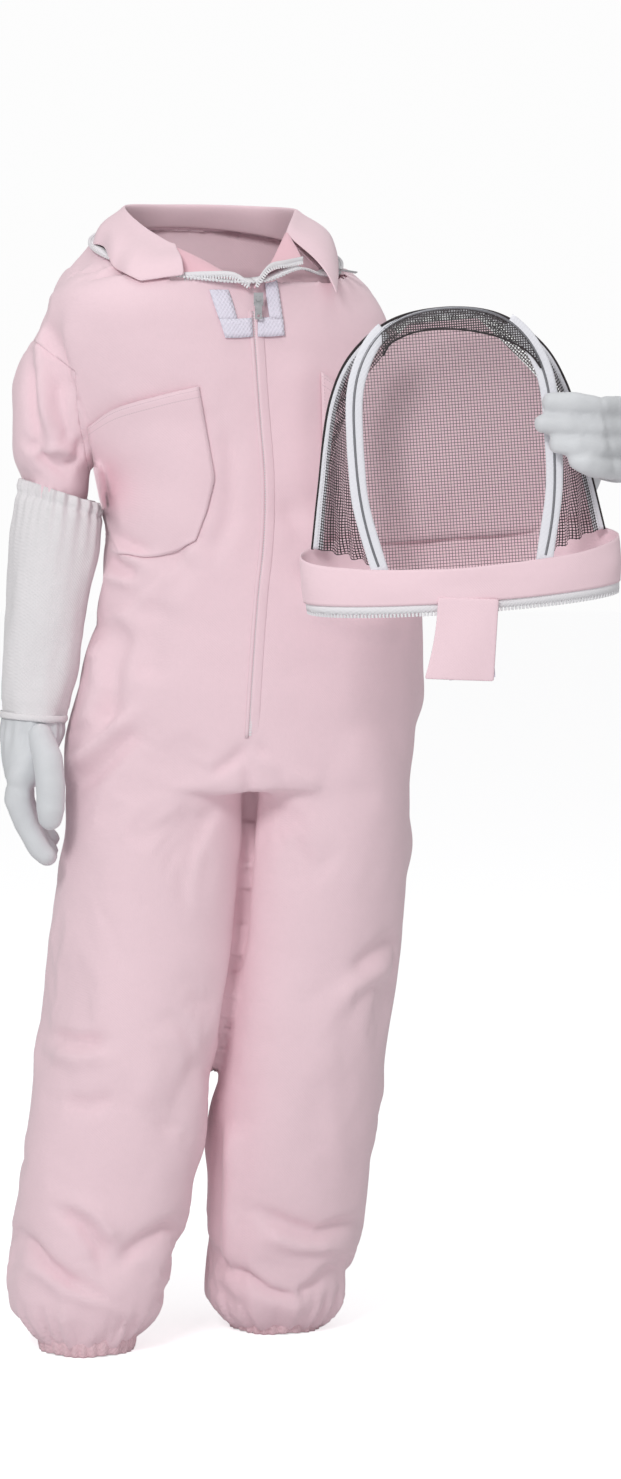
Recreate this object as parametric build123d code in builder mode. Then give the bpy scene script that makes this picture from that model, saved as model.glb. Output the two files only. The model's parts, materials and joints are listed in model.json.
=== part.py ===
# Beekeeping suit: one-piece coverall, two leather gauntlet gloves and a
# detachable netting hood, each made of separate sewn or fitted pieces.
# Millimetres, +Z up, -Y to the front, +X to the wearer's left.
# The origin is the centre of the circular zip that joins the hood to the neck.
from build123d import *
from math import sin, cos, radians, degrees, pi
import os

os.makedirs("parts", exist_ok=True)

# ------------------------------------------------------------------ driving sizes
# Body heights are written from the floor under the hems and body widths from the
# midline between the feet; from_floor carries them to the neck-zip origin.
NECK_X, NECK_Y, NECK_Z = 7.0, -8.0, 1280.0
CLOTH = 1.7              # thickness of the sewn shell
SEAM = 0.3               # gap left along each seam
NECK_R = 140.0           # radius of the neck opening
NECK_TILT = 16.5         # ring lies lower at the front
CHEST_YAW = 20.0         # chest turned towards the wearer's left
RIGHT, LEFT = -1, 1      # sign of X on each side of the wearer
SIDES = {"right": RIGHT, "left": LEFT}

# front zip
ZIP_X, ZIP_Y = 59.0, -140.0
ZIP_TOP, ZIP_BOTTOM = 1230.0, 714.0
ZIP_LENGTH = ZIP_TOP - ZIP_BOTTOM
ZIP_MIDDLE = (ZIP_TOP + ZIP_BOTTOM) / 2
ZIP_GAP = 8.0            # half the opening between the front panels
SLOT_TOP = 1300          # zip opening runs out through the neck
SLOT_BOTTOM = ZIP_BOTTOM - 8
TEETH_DEPTH, TEETH_PITCH = 2.2, 5.0
SLIDER_Z = 1220.0

# armholes
ARMHOLE_R = 80.0
ARMHOLE_DROP = 17.0      # how far the armhole faces downwards, degrees
ARMHOLE_YAW = 15.0
ARMHOLE_CENTRE = {RIGHT: (-159.0, -52.0, 1122.0), LEFT: (203.0, 44.0, 1122.0)}
ARMHOLE_FLOOR = 1016.0   # lowest point of the armhole

# ankle elastics
ANKLE_R = 50.0           # inside radius
ANKLE_WALL = 3.4
ANKLE_BAND_H = 30

TRUNK_EXPONENT = 2.5     # squareness of the trunk sections

# trunk sections: height, centre x, half width, half depth, yaw
TRUNK = [
    (660, 35, 202, 138, 3), (710, 37, 202, 143, 3), (777, 46, 197, 145, 3),
    (850, 54, 188, 141, 4), (920, 53, 177, 138, 5), (967, 49, 173, 140, 7),
    (1014, 44, 171, 142, 9), (1073, 34, 184, 141, 12), (1132, 22, 201, 139, 15),
    (1180, 12, 208, 134, 18), (1222, 3, 206, 130, 20),
]
# leg sections from the hip down: height, centre x, centre y, half width, half depth
LEGS = {
    RIGHT: [
        (664, -60, 1, 99, 130), (600, -65, -5, 102, 125), (540, -70, -12, 104, 120),
        (469, -79, -20, 108, 115), (398, -86, -30, 108, 112), (328, -100, -42, 104, 108),
        (259, -110, -54, 103, 104), (189, -123, -66, 99, 100), (120, -135, -80, 96, 95),
        (75, -142, -89, 92, 88), (46, -145, -95, 83, 76), (24, -144, -99, 56, 56),
    ],
    LEFT: [
        (664, 139, 2, 94, 132), (600, 138, 4, 94, 125), (538, 136, 6, 95, 120),
        (465, 130, 9, 95, 115), (393, 121, 12, 96, 111), (320, 108, 15, 97, 108),
        (247, 99, 18, 97, 104), (174, 93, 20, 94, 100), (101, 86, 22, 90, 95),
        (62, 80, 23, 86, 88), (40, 77, 24, 78, 76), (24, 77, 24, 56, 56),
    ],
}


# ------------------------------------------------------------------ shared helpers
def from_floor(x, y, z):
    """Carry a point measured from the floor to the neck-zip origin."""
    return (x - NECK_X, y - NECK_Y, z - NECK_Z)


def level_plane(x, y, z, yaw=0.0, tilt=0.0):
    """Plane whose normal is up; yaw turns it, tilt lowers its front edge."""
    across = Vector(cos(radians(yaw)), sin(radians(yaw)), 0)
    front = Vector(sin(radians(yaw)), -cos(radians(yaw)), 0)
    normal = Vector(0, 0, 1) * cos(radians(tilt)) + front * sin(radians(tilt))
    return Plane(origin=from_floor(x, y, z), x_dir=across, z_dir=normal)


def oval(half_width, half_depth, exponent=TRUNK_EXPONENT, count=20):
    """Points of a squared-off oval; exponent 2 is a true ellipse."""
    points = []
    for k in range(count):
        angle = 2 * pi * k / count
        c, s = cos(angle), sin(angle)
        points.append((half_width * (abs(c) ** (2 / exponent)) * (1 if c >= 0 else -1),
                       half_depth * (abs(s) ** (2 / exponent)) * (1 if s >= 0 else -1)))
    return points


def outline_prism(points, y_front, y_back):
    """Prism whose outline is written as (x, height) seen from the front."""
    outline = [(x - NECK_X, z - NECK_Z) for x, z in points]
    with BuildPart() as prism:
        with BuildSketch(Plane.XZ.offset(-(y_back - NECK_Y))):
            with BuildLine():
                Polyline(*outline, close=True)
            make_face()
        extrude(amount=y_back - y_front)
    return prism.part


# ------------------------------------------------------------------ trunk and legs
RING = level_plane(NECK_X, NECK_Y, NECK_Z, CHEST_YAW, NECK_TILT)


def centre_y(centre_x, half_width, half_depth, yaw):
    """Centre depth that puts the front of the section on the straight zip line."""
    turn = radians(yaw)
    low, high = -60.0, 60.0
    for _ in range(50):
        middle = (low + high) / 2
        dx, dy = ZIP_X - centre_x, ZIP_Y - middle
        across = dx * cos(turn) + dy * sin(turn)
        deep = -dx * sin(turn) + dy * cos(turn)
        reach = (abs(across / half_width) ** TRUNK_EXPONENT
                 + abs(deep / half_depth) ** TRUNK_EXPONENT)
        if reach > 1:
            high = middle
        else:
            low = middle
    return (low + high) / 2


def trunk_sections(grow):
    """Planes and outlines of the trunk, grown or shrunk, with the neck ring on top."""
    sections = []
    for z, centre_x, half_width, half_depth, yaw in TRUNK:
        y = centre_y(centre_x, half_width, half_depth, yaw)
        height = z - (grow if z == TRUNK[0][0] else 0)
        sections.append((level_plane(centre_x, y, height, yaw),
                         oval(half_width + grow, half_depth + grow)))
    shoulder = level_plane(5, -9, 1254, CHEST_YAW, 9)
    sections.append((shoulder, oval(180 + grow, 136 + grow, 2.2)))
    neck_r = NECK_R + 1 + grow
    sections.append((RING.offset(grow * 0.02), oval(neck_r, neck_r, 2.0)))
    return sections


def trunk_solid(grow):
    with BuildPart() as body:
        for plane, points in trunk_sections(grow):
            with BuildSketch(plane):
                with BuildLine():
                    Spline(*points, periodic=True)
                make_face()
        loft()
        if grow < 0:
            # carry the neck opening right through the top
            with BuildSketch(RING.offset(-2.0)):
                Circle(NECK_R - 1.5)
            extrude(amount=8)
    return body.part


def leg_solid(side, grow):
    """Solid leg; a shrunk one runs out through both ends so that it cuts them open."""
    table = LEGS[side]
    with BuildPart() as body:
        for i, (z, centre_x, y, half_width, half_depth) in enumerate(table):
            height = z
            if grow < 0 and i == 0:
                height = z + 3
            elif grow < 0 and i == len(table) - 1:
                height = z - 1
            with BuildSketch(level_plane(centre_x, y, height)):
                Ellipse(half_width + grow, half_depth + grow)
        loft()
    return body.part


def armhole_plane(side, out=0.0):
    """Plane of the armhole facing away from the body, moved out along its normal."""
    drop, yaw = radians(ARMHOLE_DROP), radians(ARMHOLE_YAW)
    normal = Vector(side * cos(drop) * cos(yaw), side * cos(drop) * sin(yaw), -sin(drop))
    origin = Vector(*from_floor(*ARMHOLE_CENTRE[side])) + normal * out
    return Plane(origin=origin, x_dir=Vector(0, 0, 1).cross(normal), z_dir=normal)


def arm_zone(out):
    """Room beyond both armhole planes, above the armhole floor."""
    with BuildPart() as zone:
        for side in (RIGHT, LEFT):
            with BuildSketch(armhole_plane(side, out)):
                Rectangle(700, 700)
            extrude(amount=300)
        with BuildSketch(level_plane(0, 0, ARMHOLE_FLOOR + out)):
            Rectangle(1600, 1600)
        extrude(amount=-700, mode=Mode.SUBTRACT)
    return zone.part


trunk_outer = trunk_solid(0)
trunk_inner = trunk_solid(-CLOTH)
leg_outer = {side: leg_solid(side, 0) for side in (RIGHT, LEFT)}
leg_inner = {side: leg_solid(side, -CLOTH) for side in (RIGHT, LEFT)}
arm_room = arm_zone(0)
arm_room_wide = arm_zone(-CLOTH)

with BuildPart() as trunk_hollow:
    add(trunk_inner)
    add(arm_room_wide, mode=Mode.SUBTRACT)
with BuildPart() as armhole_cut:
    for side in (RIGHT, LEFT):
        with BuildSketch(armhole_plane(side, -30)):
            Circle(ARMHOLE_R - 6)
        extrude(amount=60)

# seams between the panels seen from the front, from the top down: x, height
FRONT_SEAM = [(ZIP_X, 1500), (ZIP_X, 712)]
BACK_SEAM = [(-40, 1500), (-37, 1222), (-14, 1132), (18, 1014), (36, 920), (46, 712)]
LEG_GAP = [(46, 668), (41, 640), (36.5, 540), (32.5, 420), (16, 330), (5, 240), (5, -50)]
SIDE_SEAM_Y = -4
SIDE_SEAM_FOOT_Y = {RIGHT: -104.0, LEFT: 25.0}


def panel_region(side, front):
    """Region kept by one panel: side of the centre seam and of the side seam."""
    gap = SEAM / 2
    centre_seam = (FRONT_SEAM if front else BACK_SEAM) + LEG_GAP
    outline = [(x + side * gap - NECK_X, z - NECK_Z) for x, z in centre_seam]
    far = side * 600
    outline += [(far, -50 - NECK_Z), (far, 1500 - NECK_Z)]

    # side seam seen along X: y, height
    foot = SIDE_SEAM_FOOT_Y[side]
    facing = -1 if front else 1
    side_seam = [(SIDE_SEAM_Y, 1500), (SIDE_SEAM_Y, 664), (foot, 0), (foot, -60)]
    profile = [(y + facing * gap - NECK_Y, z - NECK_Z) for y, z in side_seam]
    profile += [(facing * 700, -60 - NECK_Z), (facing * 700, 1500 - NECK_Z)]

    with BuildPart() as region:
        with BuildSketch(Plane.XZ.offset(-600)):
            with BuildLine():
                Polyline(*outline, close=True)
            make_face()
        extrude(amount=1200)
        with BuildSketch(Plane.YZ.offset(-700)):
            with BuildLine():
                Polyline(*profile, close=True)
            make_face()
        extrude(amount=1400, mode=Mode.INTERSECT)
    return region.part


def panel(side, front):
    """One quarter of the coverall shell, trunk and leg in one."""
    with BuildPart() as cloth:
        add(trunk_outer)
        add(arm_room, mode=Mode.SUBTRACT)
        add(leg_outer[side])
        add(panel_region(side, front), mode=Mode.INTERSECT)
        add(trunk_hollow.part, mode=Mode.SUBTRACT)
        add(leg_inner[side], mode=Mode.SUBTRACT)
        add(armhole_cut.part, mode=Mode.SUBTRACT)
        if front:
            with Locations(from_floor(ZIP_X, ZIP_Y, (SLOT_BOTTOM + SLOT_TOP) / 2)):
                Box(2 * ZIP_GAP, 80, SLOT_TOP - SLOT_BOTTOM, mode=Mode.SUBTRACT)
    return cloth.part


def ankle_elastic(side):
    """Elastic band centred on the hem, standing on the floor."""
    _, hem_x, hem_y, _, _ = LEGS[side][-1]
    with BuildPart() as band:
        with Locations(from_floor(hem_x, hem_y, ANKLE_BAND_H / 2)):
            Cylinder(ANKLE_R + ANKLE_WALL, ANKLE_BAND_H)
            Cylinder(ANKLE_R, ANKLE_BAND_H, mode=Mode.SUBTRACT)
    return band.part


# ----------------------------------------------- pieces sewn onto the trunk surface
# outlines seen from the front: x, height
POCKETS = {
    RIGHT: [(-110, 1094), (-99, 1100), (-9, 1123), (-3, 1106), (8, 1020),
            (-6, 985), (-23, 944), (-67, 921), (-96, 921), (-108, 955)],
    LEFT: [(129, 1137), (186, 1112), (188, 1010), (184, 962), (168, 938),
           (146, 938), (129, 962)],
}
PATCH_U = [(-1, 1230), (17, 1176), (87, 1176), (79, 1230), (59, 1230), (66, 1199),
           (35, 1199), (24, 1230)]
WAIST_BAND = [(-600, 906), (600, 906), (600, 942), (-600, 942)]
FRONT_DEPTHS = (-300, -40)      # y range holding only the front of the trunk


def skin(outer, inner):
    """Layer lying over (or under) the trunk surface between two offsets."""
    with BuildPart() as layer:
        add(trunk_solid(outer))
        add(trunk_solid(inner), mode=Mode.SUBTRACT)
    return layer.part


pocket_layer = skin(3.0, 0.5)
patch_layer = skin(1.6, 0.4)
waist_layer = skin(-CLOTH - 0.5, -CLOTH - 1.9)


def chest_pocket(side):
    with BuildPart() as pocket:
        add(pocket_layer)
        add(outline_prism(POCKETS[side], *FRONT_DEPTHS), mode=Mode.INTERSECT)
    return pocket.part


def loop_patch(side):
    """Half of the U-shaped patch that lies on one side of the zip opening."""
    edge = ZIP_X + side * (ZIP_GAP + 0.4)
    far = -side * 200
    other_side = [(edge, 1100), (far, 1100), (far, 1300), (edge, 1300)]
    with BuildPart() as patch:
        add(patch_layer)
        add(outline_prism(PATCH_U, *FRONT_DEPTHS), mode=Mode.INTERSECT)
        add(outline_prism(other_side, -300, 0), mode=Mode.SUBTRACT)
    return patch.part


def back_waist_elastic():
    """Band inside the back of the waist."""
    with BuildPart() as band:
        add(waist_layer)
        add(outline_prism(WAIST_BAND, 20, 400), mode=Mode.INTERSECT)
    return band.part


# -------------------------------------------------------------------- front closure
# both zip pulls: a pin through the slider's eye, two arms and a flat tab
PULL_T = 1.0
PIN_R, PIN_LENGTH = 0.5, 6.8
PULL_ARM, PULL_ARM_OFFSET = 5.6, 2.9
TAB_WIDTH, TAB_LENGTH = 8.0, 18.0
FRONT_EYE_Y = -5.6       # eye of the front slider, ahead of the zip


def zip_point(across, y, height):
    """Point given from the zip line sideways and in depth, and from the floor."""
    return from_floor(ZIP_X + across, ZIP_Y + y, height)


def zip_tape(side):
    with BuildPart() as tape:
        with Locations(zip_point(side * 5.1, 0, ZIP_MIDDLE)):
            Box(5.0, 1.0, ZIP_LENGTH)
    return tape.part


def zip_teeth(side):
    """Rail with teeth; the two sides are staggered by half a pitch."""
    count = int((ZIP_LENGTH - 6) / TEETH_PITCH)
    first = ZIP_BOTTOM + 4 + TEETH_PITCH / 4 * side
    with BuildPart() as row:
        with Locations(zip_point(side * 1.95, 0, ZIP_MIDDLE)):
            Box(1.1, 2.0, ZIP_LENGTH)
        with Locations(*[zip_point(side * 0.85, 0, first + k * TEETH_PITCH)
                         for k in range(count)]):
            Box(1.3, TEETH_DEPTH, TEETH_PITCH * 0.42)
    return row.part


def front_zip_bottom_stop():
    with BuildPart() as stop:
        with Locations(zip_point(0, 0, ZIP_BOTTOM - 3)):
            Box(8, 2.8, 4)
    return stop.part


def front_zip_slider():
    """Front plate with two side flanges and an eye for the pull."""
    with BuildPart() as slider:
        with Locations(zip_point(0, -3.7, SLIDER_Z)):
            Box(11, 1.4, 15)
        with Locations(zip_point(-4.9, -2.1, SLIDER_Z), zip_point(4.9, -2.1, SLIDER_Z)):
            Box(1.2, 1.9, 15)
        with Locations(zip_point(0, FRONT_EYE_Y, SLIDER_Z)):
            Box(3.4, 2.6, 4.6)
            Box(3.4, 1.5, 2.8, mode=Mode.SUBTRACT)
    return slider.part


def front_zip_pull():
    """Pull hanging down, with a round hole near the end of its tab."""
    with BuildPart() as pull:
        with Locations(Location(zip_point(0, FRONT_EYE_Y, SLIDER_Z), (0, 90, 0))):
            Cylinder(PIN_R, PIN_LENGTH)
        with Locations(*[zip_point(s * PULL_ARM_OFFSET, FRONT_EYE_Y, SLIDER_Z - 2.5)
                         for s in (-1, 1)]):
            Box(PULL_T, PULL_T, PULL_ARM)
        with Locations(zip_point(0, FRONT_EYE_Y, SLIDER_Z - 14.0)):
            Box(TAB_WIDTH, PULL_T, TAB_LENGTH)
        with Locations(Location(zip_point(0, FRONT_EYE_Y, SLIDER_Z - 19.0), (90, 0, 0))):
            Cylinder(1.6, 3, mode=Mode.SUBTRACT)
    return pull.part


# ---------------------------------------------------------------- neck ring, collar
RING_AXIS = Axis(origin=(0, 0, 0), direction=RING.z_dir)
NECK_TEETH = 184
NECK_SLIDER_ANGLE = 52   # from the front towards the wearer's left
NECK_EYE_R, NECK_EYE_UP = 151.8, 5.6

# sections turned about the ring axis: radius, height above the ring
NECK_TAPE = [(129, 0.7), (147.6, 0.7), (147.6, 1.7), (129, 1.7)]
NECK_RAIL = [(147.9, 0.2), (149.0, 0.2), (149.0, 2.2), (147.9, 2.2)]
STAND = [(136.0, 2.3), (137.7, 2.3), (107.7, 48.0), (106.0, 48.0)]
LEAF = [(104.0, 48.6), (104.0, 50.4), (110.0, 50.6), (152.0, 16.0), (151.0, 14.6),
        (109.3, 48.6)]
# openings cut through the front of the collar: x, height from the floor
STAND_CUT = [(50, 1241), (-104, 1338), (-104, 1420), (98, 1420), (98, 1338), (56, 1241)]
LEAF_CUT = [(-72, 1180), (-52, 1290), (-52, 1420), (92, 1420), (92, 1300), (140, 1180)]


def ring_profile(angle):
    """Half-plane through the ring axis: x outwards, y up the axis, z along the ring.
    The angle runs from the front to the wearer's left."""
    turn = radians(angle)
    out = RING.x_dir * sin(turn) - RING.y_dir * cos(turn)
    return Plane(origin=(0, 0, 0), x_dir=out, z_dir=out.cross(RING.z_dir))


def ring_place(angle, radius, up):
    return Location(ring_profile(angle)) * Location((radius, up, 0))


def slider_place(radius, up, along=0):
    return Location(ring_profile(NECK_SLIDER_ANGLE)) * Location((radius, up, along))


def ring_sweep(points):
    with BuildPart() as turned:
        with BuildSketch(ring_profile(0)):
            with BuildLine():
                Polyline(*points, close=True)
            make_face()
        revolve(axis=RING_AXIS)
    return turned.part


def neck_zip_teeth():
    with BuildPart() as teeth:
        add(ring_sweep(NECK_RAIL))
        with Locations(*[ring_place(k * 360 / NECK_TEETH, 149.5, 1.2)
                         for k in range(NECK_TEETH)]):
            Box(1.6, 2.2, 2.1)
    return teeth.part


def neck_zip_slider():
    """Block straddling the teeth, with an eye on top for the pull."""
    with BuildPart() as slider:
        with Locations(slider_place(149.9, 1.6)):
            Box(8.2, 5.6, 13.0)
        with Locations(slider_place(148.5, 1.2)):
            Box(9.0, 3.4, 14.0, mode=Mode.SUBTRACT)
        with Locations(slider_place(NECK_EYE_R, NECK_EYE_UP)):
            Box(4.0, 2.6, 3.4)
            Box(1.9, 1.5, 3.4, mode=Mode.SUBTRACT)
    return slider.part


def neck_zip_pull():
    """Pull pointing outwards from the ring."""
    with BuildPart() as pull:
        with Locations(slider_place(NECK_EYE_R, NECK_EYE_UP)):
            Cylinder(PIN_R, PIN_LENGTH)
        with Locations(slider_place(154.4, NECK_EYE_UP, PULL_ARM_OFFSET),
                       slider_place(154.4, NECK_EYE_UP, -PULL_ARM_OFFSET)):
            Box(PULL_ARM, PULL_T, PULL_T)
        with Locations(slider_place(165.5, NECK_EYE_UP)):
            Box(TAB_LENGTH, PULL_T, TAB_WIDTH)
    return pull.part


def collar_piece(section, cut):
    """Turned collar piece, opened at the front."""
    with BuildPart() as collar:
        add(ring_sweep(section))
        add(outline_prism(cut, -300, -6), mode=Mode.SUBTRACT)
    return collar.part


# --------------------------------------------------------------------- limb helpers
# A station is (plane across the limb, radius in x, radius in y). Each side has one
# reference direction, from which the x axes of all its planes are taken.
LIMB_REF = {RIGHT: (0, 1, 0), LEFT: (-0.56, -0.42, -0.71)}
FOREARM_R = (-0.105, 0.005, -0.994)
FOREARM_L = (0.294, -0.903, 0.315)
ELBOW_L, WRIST_L = Vector(330, -20, 928), Vector(400, -235, 1003)


def reference_x(side, normal):
    """Reference direction of the side, squared to the normal."""
    ref = Vector(*LIMB_REF[side])
    return (ref - normal * ref.dot(normal)).normalized()


def station(side, centre, direction, radius_x, radius_y):
    normal = Vector(*direction).normalized()
    plane = Plane(origin=from_floor(*centre), x_dir=reference_x(side, normal), z_dir=normal)
    return (plane, radius_x, radius_y)


def stations(side, rows):
    return [station(side, *row) for row in rows]


def right_forearm(rows):
    """Stations of the straight right forearm: centre, radius x, radius y."""
    return [station(RIGHT, centre, FOREARM_R, rx, ry) for centre, rx, ry in rows]


def left_forearm(rows):
    """Round stations on the left forearm: share of the way to the wrist, radius."""
    result = []
    for share, radius in rows:
        centre = ELBOW_L + (WRIST_L - ELBOW_L) * share
        result.append(station(LEFT, (centre.X, centre.Y, centre.Z), FOREARM_L,
                              radius, radius))
    return result


def sleeve_mouth(side):
    """Round station just outside the armhole."""
    hole = armhole_plane(side, 0.6)
    plane = Plane(origin=hole.origin, x_dir=reference_x(side, hole.z_dir), z_dir=hole.z_dir)
    return (plane, ARMHOLE_R, ARMHOLE_R)


def tube(limb, wall, straight=False):
    """Loft of ovals along the limb, hollowed by the wall and open at both ends."""
    with BuildPart() as hollow:
        for plane, radius_x, radius_y in limb:
            with BuildSketch(plane):
                Ellipse(radius_x, radius_y)
        loft(ruled=straight)
        with BuildPart(mode=Mode.PRIVATE) as core:
            for i, (plane, radius_x, radius_y) in enumerate(limb):
                cut_plane = plane
                if i == 0:
                    cut_plane = plane.offset(-1.0)
                elif i == len(limb) - 1:
                    cut_plane = plane.offset(1.0)
                with BuildSketch(cut_plane):
                    Ellipse(radius_x - wall, radius_y - wall)
            loft(ruled=straight)
        add(core.part, mode=Mode.SUBTRACT)
    return hollow.part


def lengths(limb, shrink=0.0):
    """Solid limb made of straight lengths joined end to end."""
    with BuildPart() as joined:
        for k in range(len(limb) - 1):
            with BuildPart(mode=Mode.PRIVATE) as length:
                for plane, radius_x, radius_y in limb[k:k + 2]:
                    with BuildSketch(plane):
                        Ellipse(radius_x - shrink, radius_y - shrink)
                loft()
            add(length.part)
    return joined.part


# -------------------------------------------------------------------------- sleeves
# rows: centre, direction, radius x, radius y
SLEEVE_R = [sleeve_mouth(RIGHT)] + stations(RIGHT, [
    ((-184, -52, 1086), (-0.55, -0.1, -0.83), 70, 48),
    ((-188, -50, 1050), (-0.12, 0, -1), 60, 42),
    ((-184, -48, 1005), FOREARM_R, 48, 38),
    ((-189, -46, 940), FOREARM_R, 42, 36),
    ((-199, -45, 850), FOREARM_R, 36, 32),
    ((-209, -45, 755), FOREARM_R, 29, 27),
])
SLEEVE_L = [sleeve_mouth(LEFT)] + stations(LEFT, [
    ((242, 49, 1082), (0.75, 0.1, -0.65), 66, 62),
    ((274, 44, 1030), (0.5, 0.0, -0.87), 56, 54),
    ((304, 30, 985), (0.45, -0.2, -0.87), 51, 51),
    ((323, -3, 947), (0.38, -0.66, -0.6), 48, 48),
    ((336, -46, 936), (0.33, -0.93, -0.05), 41.5, 41.5),
    ((348, -85, 946), (0.3, -0.92, 0.25), 39.5, 39.5),
    ((365, -128, 965.5), FOREARM_L, 37, 37),
    ((395.5, -221, 998), FOREARM_L, 27, 27),
])
SLEEVE_ELASTIC_R = right_forearm([((-208, -45, 765), 27.2, 25.2),
                                  ((-209.5, -45, 750), 26.6, 24.6)])
SLEEVE_ELASTIC_L = stations(LEFT, [((391.2, -208, 993.5), FOREARM_L, 25.6, 25.6),
                                   ((395.3, -220.5, 997.8), FOREARM_L, 24.9, 24.9)])


def right_sleeve():
    with BuildPart() as sleeve:
        add(lengths(SLEEVE_R))
        add(lengths(SLEEVE_R, CLOTH), mode=Mode.SUBTRACT)
    return sleeve.part


# --------------------------------------------------------------------------- gloves
GAUNTLET_WALL = 1.8
SLEEVE_ELASTIC_WALL, GAUNTLET_ELASTIC_WALL, WRIST_BAND_WALL = 1.6, 1.4, 1.1
GLOVE_WALL = 2.2
THUMB_GAP = 0.4          # clearance cut between thumb and palm

GAUNTLET_R = right_forearm([
    ((-184, -47, 1006), 55, 46), ((-189, -46, 950), 54, 48), ((-195, -45, 896), 50, 46),
    ((-200, -45, 848), 47, 44), ((-205, -45, 801), 44, 41), ((-211, -45, 738), 39, 37),
])
GAUNTLET_L = left_forearm([(0.15, 50), (0.35, 50), (0.6, 46), (0.8, 42), (0.98, 38)])
GAUNTLET_ELASTIC_R = right_forearm([((-184.4, -47, 1002), 52.7, 43.8),
                                    ((-185.7, -46.8, 988), 52.5, 44.3)])
GAUNTLET_ELASTIC_L = left_forearm([(0.165, 47.7), (0.215, 47.7)])
WRIST_BAND_R = right_forearm([((-209.6, -45, 752), 41.6, 39.4),
                              ((-210.9, -45, 739.5), 40.7, 38.7)])
WRIST_BAND_L = left_forearm([(0.92, 40.9), (0.975, 39.8)])
PALM_R = right_forearm([
    ((-211.4, -45, 735), 38, 36), ((-213, -49, 700), 43, 34),
    ((-212, -54, 665), 44, 30), ((-210, -55, 648), 42, 25),
])
PALM_L = stations(LEFT, [
    ((400.8, -237.4, 1003.9), FOREARM_L, 37, 37),
    ((412, -253, 1022), (0.38, -0.5, 0.78), 33, 36),
    ((424, -259, 1048), (0.38, -0.3, 0.87), 24, 36),
    ((438, -266, 1086), (0.4, -0.2, 0.9), 17, 28),
])
# finger paths, root to tip; the right hand hangs, the left hand is curled
FINGERS_R = [[(-212, y, 676), (-209, y - 1, 620), (-195, y - 3, 578)]
             for y in (-88, -66, -44, -24)]
FINGERS_L = [[(430, -268, min(z, 1084) - 4), (457, -322, z), (448, -382, z + 2),
              (tip_x, -421, z + 4)]
             for z, tip_x in ((1094, 372), (1070, 368), (1047, 392), (1026, 410))]
THUMB_R = [(-200, -88, 716), (-190, -108, 672), (-190, -112, 632)]
THUMB_L = [(404, -256, 1040), (388, -270, 1066), (372, -272, 1086)]


def finger(points, radius):
    """Rounded finger along a smooth path."""
    places = [Vector(*from_floor(*point)) for point in points]
    with BuildPart() as rod:
        with BuildLine() as path:
            Spline(*places)
        with BuildSketch(Plane(origin=places[0], z_dir=path.line % 0)):
            Circle(radius)
        sweep()
        with Locations(Plane(origin=places[-1], z_dir=path.line % 1)):
            Sphere(radius * 1.03)
    return rod.part


def hand(palm, fingers, radius):
    """Leather hand: hollow palm whose far end carries four fingers."""
    with BuildPart() as leather:
        add(lengths(palm))
        add(lengths(palm[:3], GLOVE_WALL), mode=Mode.SUBTRACT)
        for path in fingers:
            add(finger(path, radius))
    return leather.part


def right_thumb():
    """Thumb cut clear of the palm and of the nearest finger."""
    with BuildPart() as thumb:
        add(finger(THUMB_R, 12.5))
        add(lengths(PALM_R, -THUMB_GAP), mode=Mode.SUBTRACT)
        add(finger(FINGERS_R[0], 11.5), mode=Mode.SUBTRACT)
    return thumb.part


def left_thumb():
    with BuildPart() as thumb:
        add(finger(THUMB_L, 11.5))
        add(lengths(PALM_L, -THUMB_GAP), mode=Mode.SUBTRACT)
    return thumb.part


# ----------------------------------------------------------------------------- hood
# The hood is off the neck, to the front left of the body. Its own frame is upright,
# leans 4 degrees sideways and has its origin at the centre of the rim.
HOOD = Location(from_floor(283, -350, 917), (0, -4, 0))
RIM_A, RIM_B = 172.0, 64.0        # half width and half depth of the flattened rim
RIM_SLOPE = 0.36                  # rim is lower at the front
BAND_H = 36.0
HOOD_REACH = 400                  # half size of the blocks that trim the hood
HOOD_TEETH = 96
WIRE_R, BORE_R = 1.6, 2.4
STRAP = (7.0, 18.0)               # section of the binding round each hoop
HOOP_TOP = 281

# arches seen from the front: x, height
FRONT_HOOP = [(-90.5, 8.5), (-105, 80), (-107, 150), (-99, 215), (-68, 262),
              (0, HOOP_TOP),
              (68, 262), (99, 215), (107, 150), (105, 80), (90.5, 8.5)]
REAR_HOOP = [(-156, 31), (-145, 95), (-126, 190), (-102, 236), (-58, 270), (0, 280),
             (58, 270), (102, 236), (126, 190), (145, 95), (156, 31)]
BACK_PANEL = [(-138, 8), (-128, 90), (-110, 160), (-88, 206), (-50, 230), (0, 238),
              (50, 230), (88, 206), (110, 160), (128, 90), (138, 8)]
HOOP_FRONT_Y, HOOP_REAR_Y = -53.0, 16.0


def hood_plane(origin, x_axis, normal):
    """Plane given in the hood's own upright frame."""
    place, x_end, normal_end = [(HOOD * Location(v)).position
                                for v in (origin, x_axis, normal)]
    return Plane(origin=place, x_dir=x_end - HOOD.position,
                 z_dir=normal_end - HOOD.position)


def rim_height(base, y):
    """Height at depth y of a level that slopes with the rim."""
    return base + (y + RIM_B) * RIM_SLOPE


def rim_slab(top, bottom):
    """Room between two sloping levels of the hood's rim."""
    reach = HOOD_REACH
    points = [(-reach, rim_height(top, -reach)), (reach, rim_height(top, reach)),
              (reach, rim_height(bottom, reach)), (-reach, rim_height(bottom, -reach))]
    with BuildPart() as slab:
        with BuildSketch(hood_plane((-reach, 0, 0), (0, 1, 0), (1, 0, 0))):
            with BuildLine():
                Polyline(*points, close=True)
            make_face()
        extrude(amount=2 * reach)
    return slab.part


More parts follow.
